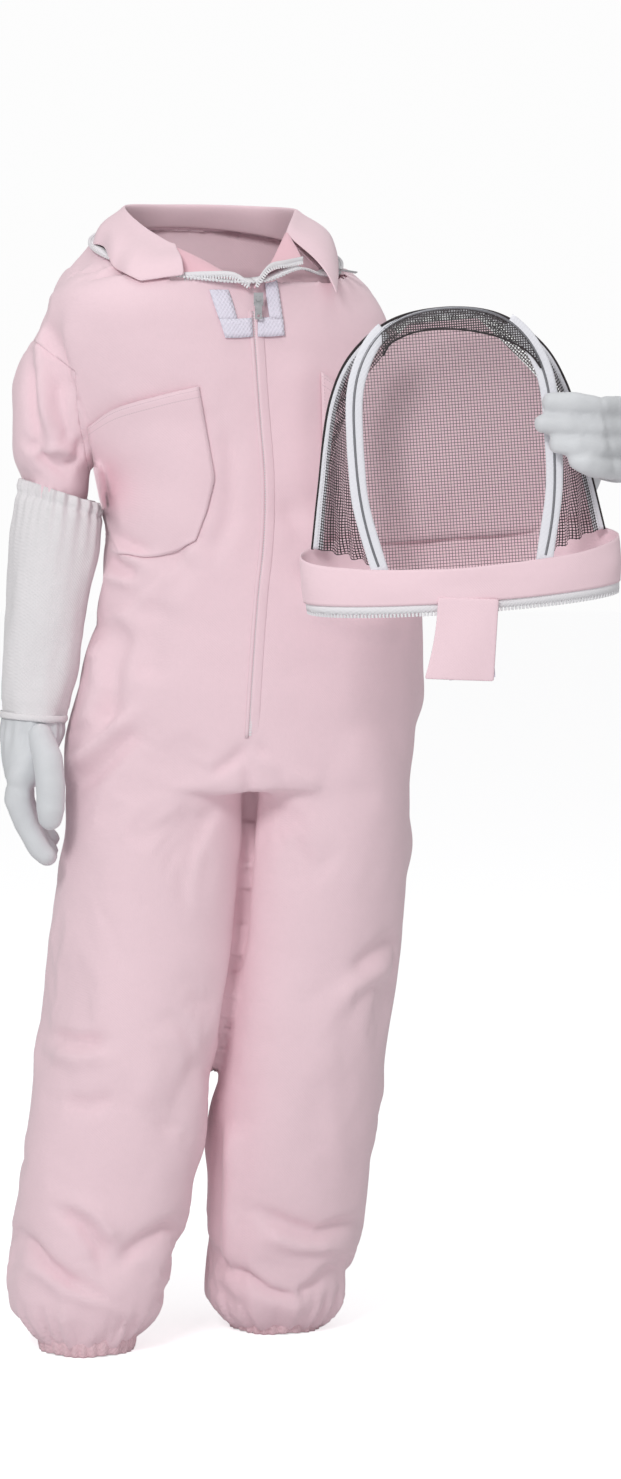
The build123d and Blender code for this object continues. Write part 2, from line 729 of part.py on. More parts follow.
def rim_ring(top, bottom, inner, outer):
    """Sloping oval ring; inner and outer are offsets from the rim."""
    with BuildPart() as ring:
        with BuildSketch(hood_plane((0, 0, -200), (1, 0, 0), (0, 0, 1))):
            Ellipse(RIM_A + outer, RIM_B + outer)
            Ellipse(RIM_A + inner, RIM_B + inner, mode=Mode.SUBTRACT)
        extrude(amount=400)
        add(rim_slab(top, bottom), mode=Mode.INTERSECT)
    return ring.part


def hood_zip_teeth():
    """Rail under the hood's zip tape, with teeth pointing down."""
    with BuildPart() as teeth:
        add(rim_ring(-BAND_H - 9.3, -BAND_H - 12.6, -4.0, -1.6))
        places = []
        for k in range(HOOD_TEETH):
            angle = 2 * pi * k / HOOD_TEETH
            x, y = (RIM_A - 2.8) * cos(angle), (RIM_B - 2.8) * sin(angle)
            z = rim_height(-BAND_H - 12.5, y)
            places.append(HOOD * Location((x, y, z), (0, 0, degrees(angle))))
        with Locations(*places):
            Box(2.0, 2.0, 4.4)
    return teeth.part


def hoop(arch, y, radius=None):
    """Arch standing at one depth: round with the given radius, else a strap."""
    places = [(HOOD * Location((x, y, z))).position for x, z in arch]
    depth_axis = hood_plane((0, 0, 0), (1, 0, 0), (0, 0, 1)).y_dir
    with BuildPart() as bent:
        with BuildLine() as path:
            Spline(*places)
        with BuildSketch(Plane(origin=places[0], x_dir=depth_axis, z_dir=path.line % 0)):
            if radius:
                Circle(radius)
            else:
                Rectangle(*STRAP)
        sweep()
    return bent.part


def hoop_binding(arch, y):
    """Strap round a hoop, bored clear of the wire."""
    with BuildPart() as binding:
        add(hoop(arch, y))
        add(hoop(arch, y, BORE_R), mode=Mode.SUBTRACT)
    return binding.part


def inset_arch(arch, inset):
    """Arch drawn in by the inset, in full at the sides and in proportion to height."""
    points = []
    for x, z in arch:
        scale = (abs(x) - inset) / abs(x) if x else 1
        points.append((x * scale, z - inset * (z / HOOP_TOP)))
    return points


def hood_front_mesh():
    """Upright sheet inside the front hoop, trimmed above the rim."""
    with BuildPart() as mesh:
        with BuildSketch(hood_plane((0, HOOP_FRONT_Y, 0), (1, 0, 0), (0, -1, 0))):
            with BuildLine():
                arch = Spline(*inset_arch(FRONT_HOOP, 9.6))
                Line(arch @ 1, arch @ 0)
            make_face()
        extrude(amount=0.8)
        add(rim_slab(1.0, -600), mode=Mode.SUBTRACT)
    return mesh.part


def arch_loft(inset, trim):
    """Solid between the two hoops, stopping short of each by the trim."""
    ends = ((FRONT_HOOP, HOOP_FRONT_Y + trim), (REAR_HOOP, HOOP_REAR_Y - trim))
    with BuildPart() as body:
        for points, y in ends:
            with BuildSketch(hood_plane((0, y, 0), (1, 0, 0), (0, -1, 0))):
                with BuildLine():
                    arch = Spline(*inset_arch(points, inset))
                    Line(arch @ 1, arch @ 0)
                make_face()
        loft()
    return body.part


def hood_side_mesh():
    """Mesh over the sides and top, from hoop to hoop."""
    with BuildPart() as mesh:
        add(arch_loft(0.0, 4.0))
        add(arch_loft(1.4, 3.0), mode=Mode.SUBTRACT)
        add(rim_slab(2.0, -600), mode=Mode.SUBTRACT)
    return mesh.part


def hood_back_panel():
    """Flat panel behind the hoops, its top leaning forwards."""
    with BuildPart() as back:
        with BuildSketch(hood_plane((0, RIM_B - 4, 40), (1, 0, 0), (0, -0.986, -0.165))):
            with BuildLine():
                arch = Spline(*BACK_PANEL)
                Line(arch @ 1, arch @ 0)
            make_face()
        extrude(amount=-1.6)
    return back.part


def hood_flap():
    """Flap hanging down in front of the rim."""
    with BuildPart() as flap:
        with Locations(HOOD * Location((2, -RIM_B - 2.6, -BAND_H - 42))):
            Box(64, 1.6, 88)
    return flap.part


def hood_flap_hook_patch():
    """Patch on the rear face of the flap."""
    with BuildPart() as patch:
        with Locations(HOOD * Location((2, -RIM_B - 0.9, -BAND_H - 66))):
            Box(50, 1.2, 34)
    return patch.part


# --------------------------------------------------------------------------- export
pieces = {}
for name, side in SIDES.items():
    pieces["front_panel_" + name] = panel(side, True)
    pieces["back_panel_" + name] = panel(side, False)
    pieces["chest_pocket_" + name] = chest_pocket(side)
    pieces["loop_patch_" + name] = loop_patch(side)
    pieces["front_zip_tape_" + name] = zip_tape(side)
    pieces["front_zip_teeth_" + name] = zip_teeth(side)
    pieces[name + "_ankle_elastic"] = ankle_elastic(side)

pieces.update(
    back_waist_elastic=back_waist_elastic(),
    front_zip_bottom_stop=front_zip_bottom_stop(),
    front_zip_slider=front_zip_slider(),
    front_zip_pull=front_zip_pull(),
    neck_zip_tape=ring_sweep(NECK_TAPE),
    neck_zip_teeth=neck_zip_teeth(),
    neck_zip_slider=neck_zip_slider(),
    neck_zip_pull=neck_zip_pull(),
    collar_stand=collar_piece(STAND, STAND_CUT),
    collar_leaf=collar_piece(LEAF, LEAF_CUT),
    right_sleeve=right_sleeve(),
    left_sleeve=tube(SLEEVE_L, CLOTH, straight=True),
    right_sleeve_elastic=tube(SLEEVE_ELASTIC_R, SLEEVE_ELASTIC_WALL),
    left_sleeve_elastic=tube(SLEEVE_ELASTIC_L, SLEEVE_ELASTIC_WALL),
    right_glove_gauntlet=tube(GAUNTLET_R, GAUNTLET_WALL),
    left_glove_gauntlet=tube(GAUNTLET_L, GAUNTLET_WALL),
    right_gauntlet_elastic=tube(GAUNTLET_ELASTIC_R, GAUNTLET_ELASTIC_WALL),
    left_gauntlet_elastic=tube(GAUNTLET_ELASTIC_L, GAUNTLET_ELASTIC_WALL),
    right_glove_wrist_band=tube(WRIST_BAND_R, WRIST_BAND_WALL),
    left_glove_wrist_band=tube(WRIST_BAND_L, WRIST_BAND_WALL),
    right_glove_hand=hand(PALM_R, FINGERS_R, 11),
    left_glove_hand=hand(PALM_L, FINGERS_L, 10.5),
    right_glove_thumb=right_thumb(),
    left_glove_thumb=left_thumb(),
    hood_band=rim_ring(0, -BAND_H, -1.8, 0),
    hood_zip_tape=rim_ring(-BAND_H + 6, -BAND_H - 9, -3.4, -2.2),
    hood_zip_teeth=hood_zip_teeth(),
    hood_front_hoop=hoop(FRONT_HOOP, HOOP_FRONT_Y, WIRE_R),
    hood_rear_hoop=hoop(REAR_HOOP, HOOP_REAR_Y, WIRE_R),
    hood_front_binding=hoop_binding(FRONT_HOOP, HOOP_FRONT_Y),
    hood_rear_binding=hoop_binding(REAR_HOOP, HOOP_REAR_Y),
    hood_front_mesh=hood_front_mesh(),
    hood_side_mesh=hood_side_mesh(),
    hood_back_panel=hood_back_panel(),
    hood_flap=hood_flap(),
    hood_flap_hook_patch=hood_flap_hook_patch(),
)
for name, piece in pieces.items():
    piece.label = name
    export_step(piece, f"parts/{name}.step")
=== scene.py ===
"""Hooded protective coverall with gloves, standing as if worn.

x runs towards the wearer's left, -y is the front and z is up. Lengths in the tables are
millimetres, with heights measured from the floor; the frame itself is in metres with its
origin at the centre of the neck ring. The right arm hangs down. The left hand reaches
forward towards the detached hood, which is held in front of the left hip.
"""

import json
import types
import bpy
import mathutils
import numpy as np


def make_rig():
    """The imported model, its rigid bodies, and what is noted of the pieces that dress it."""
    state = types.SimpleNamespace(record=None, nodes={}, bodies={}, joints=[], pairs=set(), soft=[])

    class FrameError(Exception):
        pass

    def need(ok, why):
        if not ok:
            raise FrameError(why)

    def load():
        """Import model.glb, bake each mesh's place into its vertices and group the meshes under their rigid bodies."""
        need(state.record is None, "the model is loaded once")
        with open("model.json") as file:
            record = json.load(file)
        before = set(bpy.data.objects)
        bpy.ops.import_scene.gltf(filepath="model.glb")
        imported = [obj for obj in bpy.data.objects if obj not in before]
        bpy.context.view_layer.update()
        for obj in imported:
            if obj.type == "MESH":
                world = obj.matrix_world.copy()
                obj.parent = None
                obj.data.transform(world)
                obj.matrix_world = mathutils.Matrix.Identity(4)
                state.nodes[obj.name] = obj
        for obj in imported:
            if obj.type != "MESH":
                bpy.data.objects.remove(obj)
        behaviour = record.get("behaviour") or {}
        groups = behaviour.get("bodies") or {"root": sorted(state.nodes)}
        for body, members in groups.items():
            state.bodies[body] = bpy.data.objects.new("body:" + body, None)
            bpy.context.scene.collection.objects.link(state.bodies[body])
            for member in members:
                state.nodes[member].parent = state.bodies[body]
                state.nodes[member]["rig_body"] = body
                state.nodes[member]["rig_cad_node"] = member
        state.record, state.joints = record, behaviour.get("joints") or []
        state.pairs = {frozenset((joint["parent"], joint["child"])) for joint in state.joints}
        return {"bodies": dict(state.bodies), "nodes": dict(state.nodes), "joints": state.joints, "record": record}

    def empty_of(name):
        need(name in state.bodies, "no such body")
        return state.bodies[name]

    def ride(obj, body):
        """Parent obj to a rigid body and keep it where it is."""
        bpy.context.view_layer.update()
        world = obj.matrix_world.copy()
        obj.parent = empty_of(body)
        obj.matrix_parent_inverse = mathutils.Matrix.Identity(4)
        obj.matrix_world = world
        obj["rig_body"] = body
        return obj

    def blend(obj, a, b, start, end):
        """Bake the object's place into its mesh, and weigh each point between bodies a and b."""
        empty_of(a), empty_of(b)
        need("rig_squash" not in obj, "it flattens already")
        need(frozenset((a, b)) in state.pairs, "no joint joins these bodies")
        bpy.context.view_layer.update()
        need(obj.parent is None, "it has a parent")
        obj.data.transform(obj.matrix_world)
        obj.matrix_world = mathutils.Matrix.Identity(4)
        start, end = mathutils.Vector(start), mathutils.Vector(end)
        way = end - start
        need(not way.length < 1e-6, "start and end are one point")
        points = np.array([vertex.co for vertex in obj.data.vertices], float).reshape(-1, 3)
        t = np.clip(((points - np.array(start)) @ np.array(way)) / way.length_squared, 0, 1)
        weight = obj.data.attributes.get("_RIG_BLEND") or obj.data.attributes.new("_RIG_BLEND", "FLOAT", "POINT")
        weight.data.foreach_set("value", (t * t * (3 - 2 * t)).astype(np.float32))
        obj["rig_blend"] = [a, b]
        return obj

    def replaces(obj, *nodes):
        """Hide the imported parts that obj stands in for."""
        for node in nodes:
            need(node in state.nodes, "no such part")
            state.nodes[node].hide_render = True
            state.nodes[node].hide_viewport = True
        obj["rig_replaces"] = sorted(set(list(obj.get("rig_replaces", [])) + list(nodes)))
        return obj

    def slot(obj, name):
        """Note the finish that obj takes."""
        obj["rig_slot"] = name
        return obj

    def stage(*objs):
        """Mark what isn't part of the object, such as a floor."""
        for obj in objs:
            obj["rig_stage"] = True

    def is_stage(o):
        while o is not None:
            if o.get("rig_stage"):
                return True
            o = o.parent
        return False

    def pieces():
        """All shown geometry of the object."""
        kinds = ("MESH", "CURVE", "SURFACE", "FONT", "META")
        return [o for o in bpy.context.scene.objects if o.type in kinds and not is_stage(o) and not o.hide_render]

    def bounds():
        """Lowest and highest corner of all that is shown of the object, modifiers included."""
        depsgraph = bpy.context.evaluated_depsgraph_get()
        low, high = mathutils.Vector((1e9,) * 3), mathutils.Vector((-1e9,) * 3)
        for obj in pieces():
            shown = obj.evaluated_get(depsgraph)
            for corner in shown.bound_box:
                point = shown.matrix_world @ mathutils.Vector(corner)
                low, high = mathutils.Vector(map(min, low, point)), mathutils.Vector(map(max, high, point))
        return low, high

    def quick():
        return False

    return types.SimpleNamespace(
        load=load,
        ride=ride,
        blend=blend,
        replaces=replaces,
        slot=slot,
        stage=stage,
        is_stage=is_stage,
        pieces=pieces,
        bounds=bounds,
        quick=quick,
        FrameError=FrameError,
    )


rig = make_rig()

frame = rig.load()
import json
import math
from contextlib import contextmanager

import bmesh
import bpy
import numpy as np
from mathutils import Vector
from mathutils.bvhtree import BVHTree

NODES = frame["nodes"]
for default_name in ("Cube", "Light", "Camera"):
    if default_name in bpy.data.objects and default_name not in NODES:
        bpy.data.objects.remove(bpy.data.objects[default_name])
CAD_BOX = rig.bounds()
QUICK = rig.quick()
NECK = np.array([7.0, -8.0, 1280.0])    # centre of the neck ring, origin of the frame
FULL_TURN = 2 * np.pi


def to_frame(points):
    """Millimetres above the floor to metres in the frame."""
    return (np.asarray(points, float) - NECK) / 1000.0


# ------------------------------------------------------------------ view geometry
# Details of the front are laid out on a sheet square to the camera's line of sight.
# Sheet places are (across, up) in mm from the point where that line meets the sheet.
EYE = np.array([118.4, -4600.0, 1000.0])
TILT = math.radians(3.655)              # camera looks down by this much
SHEET_DISTANCE = 4651.2                 # from the eye, through the middle of the garment
COS_TILT, SIN_TILT = math.cos(TILT), math.sin(TILT)


def on_sheet(points):
    """Where the lines of sight to the points cross the sheet."""
    right, ahead, above = np.moveaxis(np.asarray(points, float) - EYE, -1, 0)
    depth = ahead * COS_TILT - above * SIN_TILT
    rise = ahead * SIN_TILT + above * COS_TILT
    return SHEET_DISTANCE * right / depth, SHEET_DISTANCE * rise / depth


def sight_point(across, up, y):
    """Point at depth y on the line of sight through a sheet place."""
    slope_x = np.asarray(across, float) / SHEET_DISTANCE
    slope_z = np.asarray(up, float) / SHEET_DISTANCE
    y = np.asarray(y, float)
    reach = (y - EYE[1]) / (COS_TILT + slope_z * SIN_TILT)
    height = EYE[2] + (slope_z * COS_TILT - SIN_TILT) * reach
    return np.stack([EYE[0] + slope_x * reach, y + 0 * reach, height], -1)


def sight_points(rows):
    """Rows of (across, up, y) to points."""
    return sight_point(*np.transpose(rows))


# --------------------------------------------------------------------- mesh tools
def new_obj(name, verts, faces, mat, smooth=True):
    mesh = bpy.data.meshes.new(name)
    places = [tuple(map(float, p)) for p in to_frame(verts)]
    mesh.from_pydata(places, [], [tuple(map(int, f)) for f in faces])
    mesh.update()
    piece = bpy.data.objects.new(name, mesh)
    bpy.context.scene.collection.objects.link(piece)
    if mat:
        mesh.materials.append(mat)
    if smooth:
        smooth_shade(piece)
    return piece


def smooth_shade(piece):
    polygons = piece.data.polygons
    polygons.foreach_set("use_smooth", [True] * len(polygons))


def read_points(mesh):
    flat = np.empty(len(mesh.vertices) * 3)
    mesh.vertices.foreach_get("co", flat)
    return flat.reshape(-1, 3) * 1000.0 + NECK


def set_points(piece, points):
    piece.data.vertices.foreach_set("co", to_frame(points).astype(np.float32).ravel())
    piece.data.update()


def normals(piece):
    flat = np.empty(len(piece.data.vertices) * 3)
    piece.data.vertex_normals.foreach_get("vector", flat)
    return flat.reshape(-1, 3)


def push_out(piece, distance):
    """Move each point along its normal; distance maps the points to mm."""
    points = read_points(piece.data)
    set_points(piece, points + normals(piece) * distance(points)[:, None])


def activate(piece):
    bpy.ops.object.select_all(action="DESELECT")
    piece.select_set(True)
    bpy.context.view_layer.objects.active = piece


def apply_mod(piece, kind, **settings):
    modifier = piece.modifiers.new("m", kind)
    for key, value in settings.items():
        setattr(modifier, key, value)
    activate(piece)
    bpy.ops.object.modifier_apply(modifier=modifier.name)


def thicken(piece, thickness, offset=0.0, rounded=False):
    """Give a sheet its thickness in mm; offset -1 grows it inwards."""
    apply_mod(piece, "SOLIDIFY", thickness=thickness / 1000.0, offset=offset)
    if rounded:
        apply_mod(piece, "SUBSURF", levels=1)
    smooth_shade(piece)


def join(pieces, name):
    activate(pieces[0])
    for piece in pieces:
        piece.select_set(True)
    bpy.ops.object.join()
    pieces[0].name = name
    pieces[0].data.name = name
    return pieces[0]


def register(piece, body, slot, *replaced):
    """Tell the frame what the piece moves with, its slot and the nodes it replaces."""
    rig.ride(piece, body)
    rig.slot(piece, slot)
    if replaced:
        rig.replaces(piece, *replaced)


@contextmanager
def editing(piece):
    bm = bmesh.new()
    bm.from_mesh(piece.data)
    yield bm
    bm.to_mesh(piece.data)
    bm.free()


def face_outwards(piece):
    with editing(piece) as bm:
        bmesh.ops.recalc_face_normals(bm, faces=bm.faces)


def lengths_along(points):
    """Running length along a line of points."""
    return np.r_[0, np.cumsum(np.linalg.norm(np.diff(points, axis=0), axis=1))]


def tangents(points):
    along = np.gradient(np.asarray(points, float), axis=0)
    return along / np.linalg.norm(along, axis=1)[:, None]


def angles(count):
    return np.linspace(0, FULL_TURN, count, endpoint=False)


def grid_obj(name, pts, mat, wrap=False, uv=True, closed=False):
    """Sheet from a (rows, columns, 3) grid; wrap closes each row, closed caps the ends.

    The UV map holds lengths in metres, across in u and along in v.
    """
    pts = np.asarray(pts)
    rows, cols = pts.shape[:2]
    spans = cols if wrap else cols - 1
    cells = [(i, j) for i in range(rows - 1) for j in range(spans)]
    faces = []
    for i, j in cells:
        k = (j + 1) % cols
        faces.append((i * cols + j, i * cols + k, (i + 1) * cols + k, (i + 1) * cols + j))
    if closed:
        faces.append(tuple(range(cols))[::-1])
        faces.append(tuple((rows - 1) * cols + j for j in range(cols)))
    piece = new_obj(name, pts.reshape(-1, 3), faces, mat)
    if uv:
        layer = piece.data.uv_layers.new(name="UVMap")
        along = lengths_along(pts[:, cols // 2])
        middle = pts[rows // 2]
        across = lengths_along(middle)
        if wrap:
            across = np.r_[across, across[-1] + np.linalg.norm(middle[0] - middle[-1])]
        uvs = []
        for i, j in cells:
            for a, b in ((i, j), (i, j + 1), (i + 1, j + 1), (i + 1, j)):
                uvs += [across[b] / 1000.0, along[a] / 1000.0]
        uvs += [0.0] * (2 * len(piece.data.loops) - len(uvs))
        layer.data.foreach_set("uv", uvs)
    return piece


def set_uv(piece, per_vertex):
    """UV map in metres from one (u, v) in mm for each vertex."""
    layer = piece.data.uv_layers.new(name="UVMap")
    index = np.empty(len(piece.data.loops), np.int32)
    piece.data.loops.foreach_get("vertex_index", index)
    per_vertex = np.asarray(per_vertex, float).reshape(-1, 2) / 1000.0
    layer.data.foreach_set("uv", per_vertex[index].ravel())


def resample(pts, count):
    """Smooth curve through the points, read off at even spacing."""
    p = np.asarray(pts, float)
    if len(p) > 2:
        # centripetal spline, with one mirrored point beyond each end
        gaps = np.linalg.norm(np.diff(p, axis=0), axis=1) ** 0.5 + 1e-9
        t = np.r_[0, np.cumsum(gaps)]
        q = np.vstack([2 * p[0] - p[1], p, 2 * p[-1] - p[-2]])
        knots = np.r_[t[0] - (t[1] - t[0]), t, t[-1] + (t[-1] - t[-2])]
        out = []
        for i in range(len(p) - 1):
            p0, p1, p2, p3 = q[i:i + 4]
            t0, t1, t2, t3 = knots[i:i + 4]
            for s in np.linspace(t1, t2, 16, endpoint=False):
                a1 = (t1 - s) / (t1 - t0) * p0 + (s - t0) / (t1 - t0) * p1
                a2 = (t2 - s) / (t2 - t1) * p1 + (s - t1) / (t2 - t1) * p2
                a3 = (t3 - s) / (t3 - t2) * p2 + (s - t2) / (t3 - t2) * p3
                b1 = (t2 - s) / (t2 - t0) * a1 + (s - t0) / (t2 - t0) * a2
                b2 = (t3 - s) / (t3 - t1) * a2 + (s - t1) / (t3 - t1) * a3
                out.append((t2 - s) / (t2 - t1) * b1 + (s - t1) / (t2 - t1) * b2)
        out.append(p[-1])
        p = np.array(out)
    d = lengths_along(p)
    s = np.linspace(0, d[-1], count)
    return np.stack([np.interp(s, d, p[:, k]) for k in range(p.shape[1])], -1)


def by_index(pts, t):
    """Smooth curve through points, read off by point number."""
    p = np.asarray(pts, float)
    q = np.vstack([2 * p[0] - p[1], p, 2 * p[-1] - p[-2]])
    i = np.clip(np.floor(t).astype(int), 0, len(p) - 2)
    f = (t - i)[:, None]
    a, b, c, d = q[i], q[i + 1], q[i + 2], q[i + 3]
    square, cube = 2 * a - 5 * b + 4 * c - d, 3 * b - a - 3 * c + d
    return 0.5 * (2 * b + (c - a) * f + square * f ** 2 + cube * f ** 3)


def value_noise(p, seed=0):
    """Smooth value noise from -1 to 1, p in lattice units."""
    p = np.asarray(p, float)
    i = np.floor(p).astype(np.int64)
    f = p - i
    f = f * f * (3 - 2 * f)
    out = 0
    for dx in (0, 1):
        for dy in (0, 1):
            for dz in (0, 1):
                h = ((i[:, 0] + dx) * 374761393 + (i[:, 1] + dy) * 668265263
                     + (i[:, 2] + dz) * 2147483647 + seed * 974634777)
                h = (h ^ (h >> 13)) * 1274126177
                h = (h ^ (h >> 16)) & 0xFFFFFF
                weight = f[:, 0] if dx else 1 - f[:, 0]
                weight = weight * (f[:, 1] if dy else 1 - f[:, 1])
                weight = weight * (f[:, 2] if dz else 1 - f[:, 2])
                out = out + (h / float(0xFFFFFF) * 2 - 1) * weight
    return out


def line_noise(values, seed):
    """Value noise along one line of numbers."""
    return value_noise(np.stack([values, 0 * values, 0 * values], -1), seed)


def tube_noise(turn, size, level, seed):
    """Value noise that closes on itself round a tube."""
    return value_noise(
        np.stack([np.cos(turn) * size, np.sin(turn) * size, 0 * turn + level], -1), seed)


def smooth_step(a, b, x):
    t = np.clip((x - a) / (b - a), 0, 1)
    return t * t * (3 - 2 * t)


def bell(x, centre, width):
    return np.exp(-((x - centre) / width) ** 2)


# ---------------------------------------------------------------------- materials
def linear(rgb):
    """0-255 sRGB to a linear colour with alpha."""
    return tuple(c / 12.92 if c <= 0.04045 else ((c + 0.055) / 1.055) ** 2.4
                 for c in (v / 255 for v in rgb)) + (1,)


def base_mat(name):
    mat = bpy.data.materials.new(name)
    mat.use_nodes = True
    return mat, mat.node_tree, mat.node_tree.nodes["Principled BSDF"]


def node(tree, kind, **settings):
    made = tree.nodes.new(kind)
    for key, value in settings.items():
        if key in made.inputs:
            made.inputs[key].default_value = value
        else:
            setattr(made, key, value)
    return made


def set_inputs(shader, values):
    for key, value in values.items():
        shader.inputs[key].default_value = value


def calc(tree, operation, *values):
    made = tree.nodes.new("ShaderNodeMath")
    made.operation = operation
    for socket, value in zip(made.inputs, values):
        if isinstance(value, (int, float)):
            socket.default_value = value
        else:
            tree.links.new(value, socket)
    return made.outputs[0]


def texture(tree, coords, kind, **settings):
    made = node(tree, kind, **settings)
    tree.links.new(coords.outputs["Object"], made.inputs["Vector"])
    return made


def noise_fac(tree, coords, **settings):
    return texture(tree, coords, "ShaderNodeTexNoise", **settings).outputs["Fac"]


def uv_axes(tree):
    uv_map = node(tree, "ShaderNodeUVMap", uv_map="UVMap")
    axes = node(tree, "ShaderNodeSeparateXYZ")
    tree.links.new(uv_map.outputs[0], axes.inputs[0])
    return axes.outputs


def two_tone(tree, factor, colour, dark, light):
    """Mix between a darker and a lighter shade of one colour."""
    mix = node(tree, "ShaderNodeMix", data_type="RGBA")
    mix.inputs[6].default_value = tuple(v * dark for v in colour[:3]) + (1,)
    mix.inputs[7].default_value = tuple(min(1, v * light) for v in colour[:3]) + (1,)
    tree.links.new(factor, mix.inputs[0])
    return mix.outputs[2]


def bump_normal(tree, shader, height, strength, distance):
    bump = node(tree, "ShaderNodeBump", Strength=strength, Distance=distance)
    tree.links.new(height, bump.inputs["Height"])
    tree.links.new(bump.outputs[0], shader.inputs["Normal"])


def cloth_mat(name, rgb, rough=0.88, sheen=0.25, weave=900.0, bump=0.10, tone=0.05,
              crumple=0.0, stitches=None):
    """Woven cloth: crossed thread bump, soft tonal variation, light sheen.

    stitches: (UV axis, place, half width) of dashed rows, lengths in metres.
    """
    mat, tree, shader = base_mat(name)
    coords = node(tree, "ShaderNodeTexCoord")
    broad = noise_fac(tree, coords, Scale=7.0, Detail=3.0)
    fine = noise_fac(tree, coords, Scale=160.0, Detail=2.0)
    rgba = linear(rgb)
    shade = calc(tree, "ADD", calc(tree, "MULTIPLY", broad, 0.65),
                 calc(tree, "MULTIPLY", fine, 0.35))
    colour = two_tone(tree, shade, rgba, 1 - tone, 1 + tone)

    # crossed threads
    axes = node(tree, "ShaderNodeSeparateXYZ")
    tree.links.new(coords.outputs["Object"], axes.inputs[0])
    x, y, z = axes.outputs
    frequency = weave * 2.2
    level = calc(tree, "ADD", x, y)
    warp = calc(tree, "SINE", calc(tree, "MULTIPLY", level, frequency))
    upright = calc(tree, "SUBTRACT", z, calc(tree, "MULTIPLY", y, 0.3))
    weft = calc(tree, "SINE", calc(tree, "MULTIPLY", upright, frequency))
    threads = calc(tree, "MULTIPLY", warp, weft)
    height = calc(tree, "ADD", calc(tree, "MULTIPLY", threads, 0.5),
                  calc(tree, "MULTIPLY", fine, 1.2))
    if crumple:
        creases = noise_fac(tree, coords, Scale=38.0, Detail=4.0, Distortion=0.8)
        height = calc(tree, "ADD", height, calc(tree, "MULTIPLY", creases, crumple))
    bump_normal(tree, shader, height, strength=bump, distance=0.0012)

    if stitches:
        uv = uv_axes(tree)
        rows = None
        for axis, place, half_width in stitches:
            off = calc(tree, "ABSOLUTE", calc(tree, "SUBTRACT", uv[axis], place))
            inside = calc(tree, "LESS_THAN", off, half_width)
            repeat = calc(tree, "FRACT", calc(tree, "MULTIPLY", uv[1 - axis], 300.0))
            dash = calc(tree, "GREATER_THAN", repeat, 0.3)
            row = calc(tree, "MULTIPLY", inside, dash)
            rows = row if rows is None else calc(tree, "MAXIMUM", rows, row)
        mix = node(tree, "ShaderNodeMix", data_type="RGBA")
        tree.links.new(calc(tree, "MULTIPLY", rows, 0.45), mix.inputs[0])
        tree.links.new(colour, mix.inputs[6])
        mix.inputs[7].default_value = tuple(v * 0.6 for v in rgba[:3]) + (1,)
        colour = mix.outputs[2]
    tree.links.new(colour, shader.inputs["Base Color"])
    set_inputs(shader, {"Roughness": rough, "Sheen Weight": sheen, "Sheen Roughness": 0.5,
                        "Specular IOR Level": 0.2})
    return mat


def leather_mat(name, rgb):
    """Grained leather with shallow broad creases."""
    mat, tree, shader = base_mat(name)
    coords = node(tree, "ShaderNodeTexCoord")
    grain = texture(tree, coords, "ShaderNodeTexVoronoi", Scale=420.0).outputs["Distance"]
    creases = noise_fac(tree, coords, Scale=22.0, Detail=5.0, Distortion=0.6)
    colour = two_tone(tree, creases, linear(rgb), dark=0.86, light=1.08)
    tree.links.new(colour, shader.inputs["Base Color"])
    height = calc(tree, "ADD", calc(tree, "MULTIPLY", grain, 0.5),
                  calc(tree, "MULTIPLY", creases, 3.0))
    bump_normal(tree, shader, height, strength=0.25, distance=0.001)
    set_inputs(shader, {"Roughness": 0.55, "Specular IOR Level": 0.35, "Sheen Weight": 0.15})
    return mat


def metal_mat(name, rgb, rough=0.28):
    """Metal with finely uneven roughness."""
    mat, tree, shader = base_mat(name)
    coords = node(tree, "ShaderNodeTexCoord")
    wear = noise_fac(tree, coords, Scale=300.0, Detail=3.0)
    spread = node(tree, "ShaderNodeMapRange",
                  **{"To Min": rough - 0.08, "To Max": rough + 0.12})
    tree.links.new(wear, spread.inputs["Value"])
    tree.links.new(spread.outputs[0], shader.inputs["Roughness"])
    set_inputs(shader, {"Base Color": linear(rgb), "Metallic": 1.0})
    return mat


def net_mat(name, rgb, pitch, cover):
    """Open netting: square threads every pitch metres, covering that share of it."""
    mat, tree, shader = base_mat(name)
    uv = uv_axes(tree)
    threads = []
    for axis in (0, 1):
        repeat = calc(tree, "FRACT", calc(tree, "MULTIPLY", uv[axis], 1.0 / pitch))
        threads.append(calc(tree, "LESS_THAN", repeat, cover))
    thread = calc(tree, "MAXIMUM", *threads)
    coords = node(tree, "ShaderNodeTexCoord")
    shade = noise_fac(tree, coords, Scale=30.0, Detail=2.0)
    colour = two_tone(tree, shade, linear(rgb), dark=0.8, light=1.2)
    tree.links.new(colour, shader.inputs["Base Color"])
    shader.inputs["Roughness"].default_value = 0.6
    gap = node(tree, "ShaderNodeBsdfTransparent")
    mix = node(tree, "ShaderNodeMixShader")
    tree.links.new(thread, mix.inputs[0])
    tree.links.new(gap.outputs[0], mix.inputs[1])
    tree.links.new(shader.outputs[0], mix.inputs[2])
    tree.links.new(mix.outputs[0], tree.nodes["Material Output"].inputs["Surface"])
    return mat


def stage_mat():
    """Pale floor that also glows, but only as the camera sees it."""
    mat, tree, shader = base_mat("studio_floor")
    set_inputs(shader, {"Base Color": (0.86, 0.86, 0.87, 1), "Roughness": 0.9,
                        "Specular IOR Level": 0.1, "Emission Color": (1, 1, 1, 1)})
    path = node(tree, "ShaderNodeLightPath")
    glow = calc(tree, "MULTIPLY", path.outputs["Is Camera Ray"], 0.62)
    tree.links.new(glow, shader.inputs["Emission Strength"])
    return mat


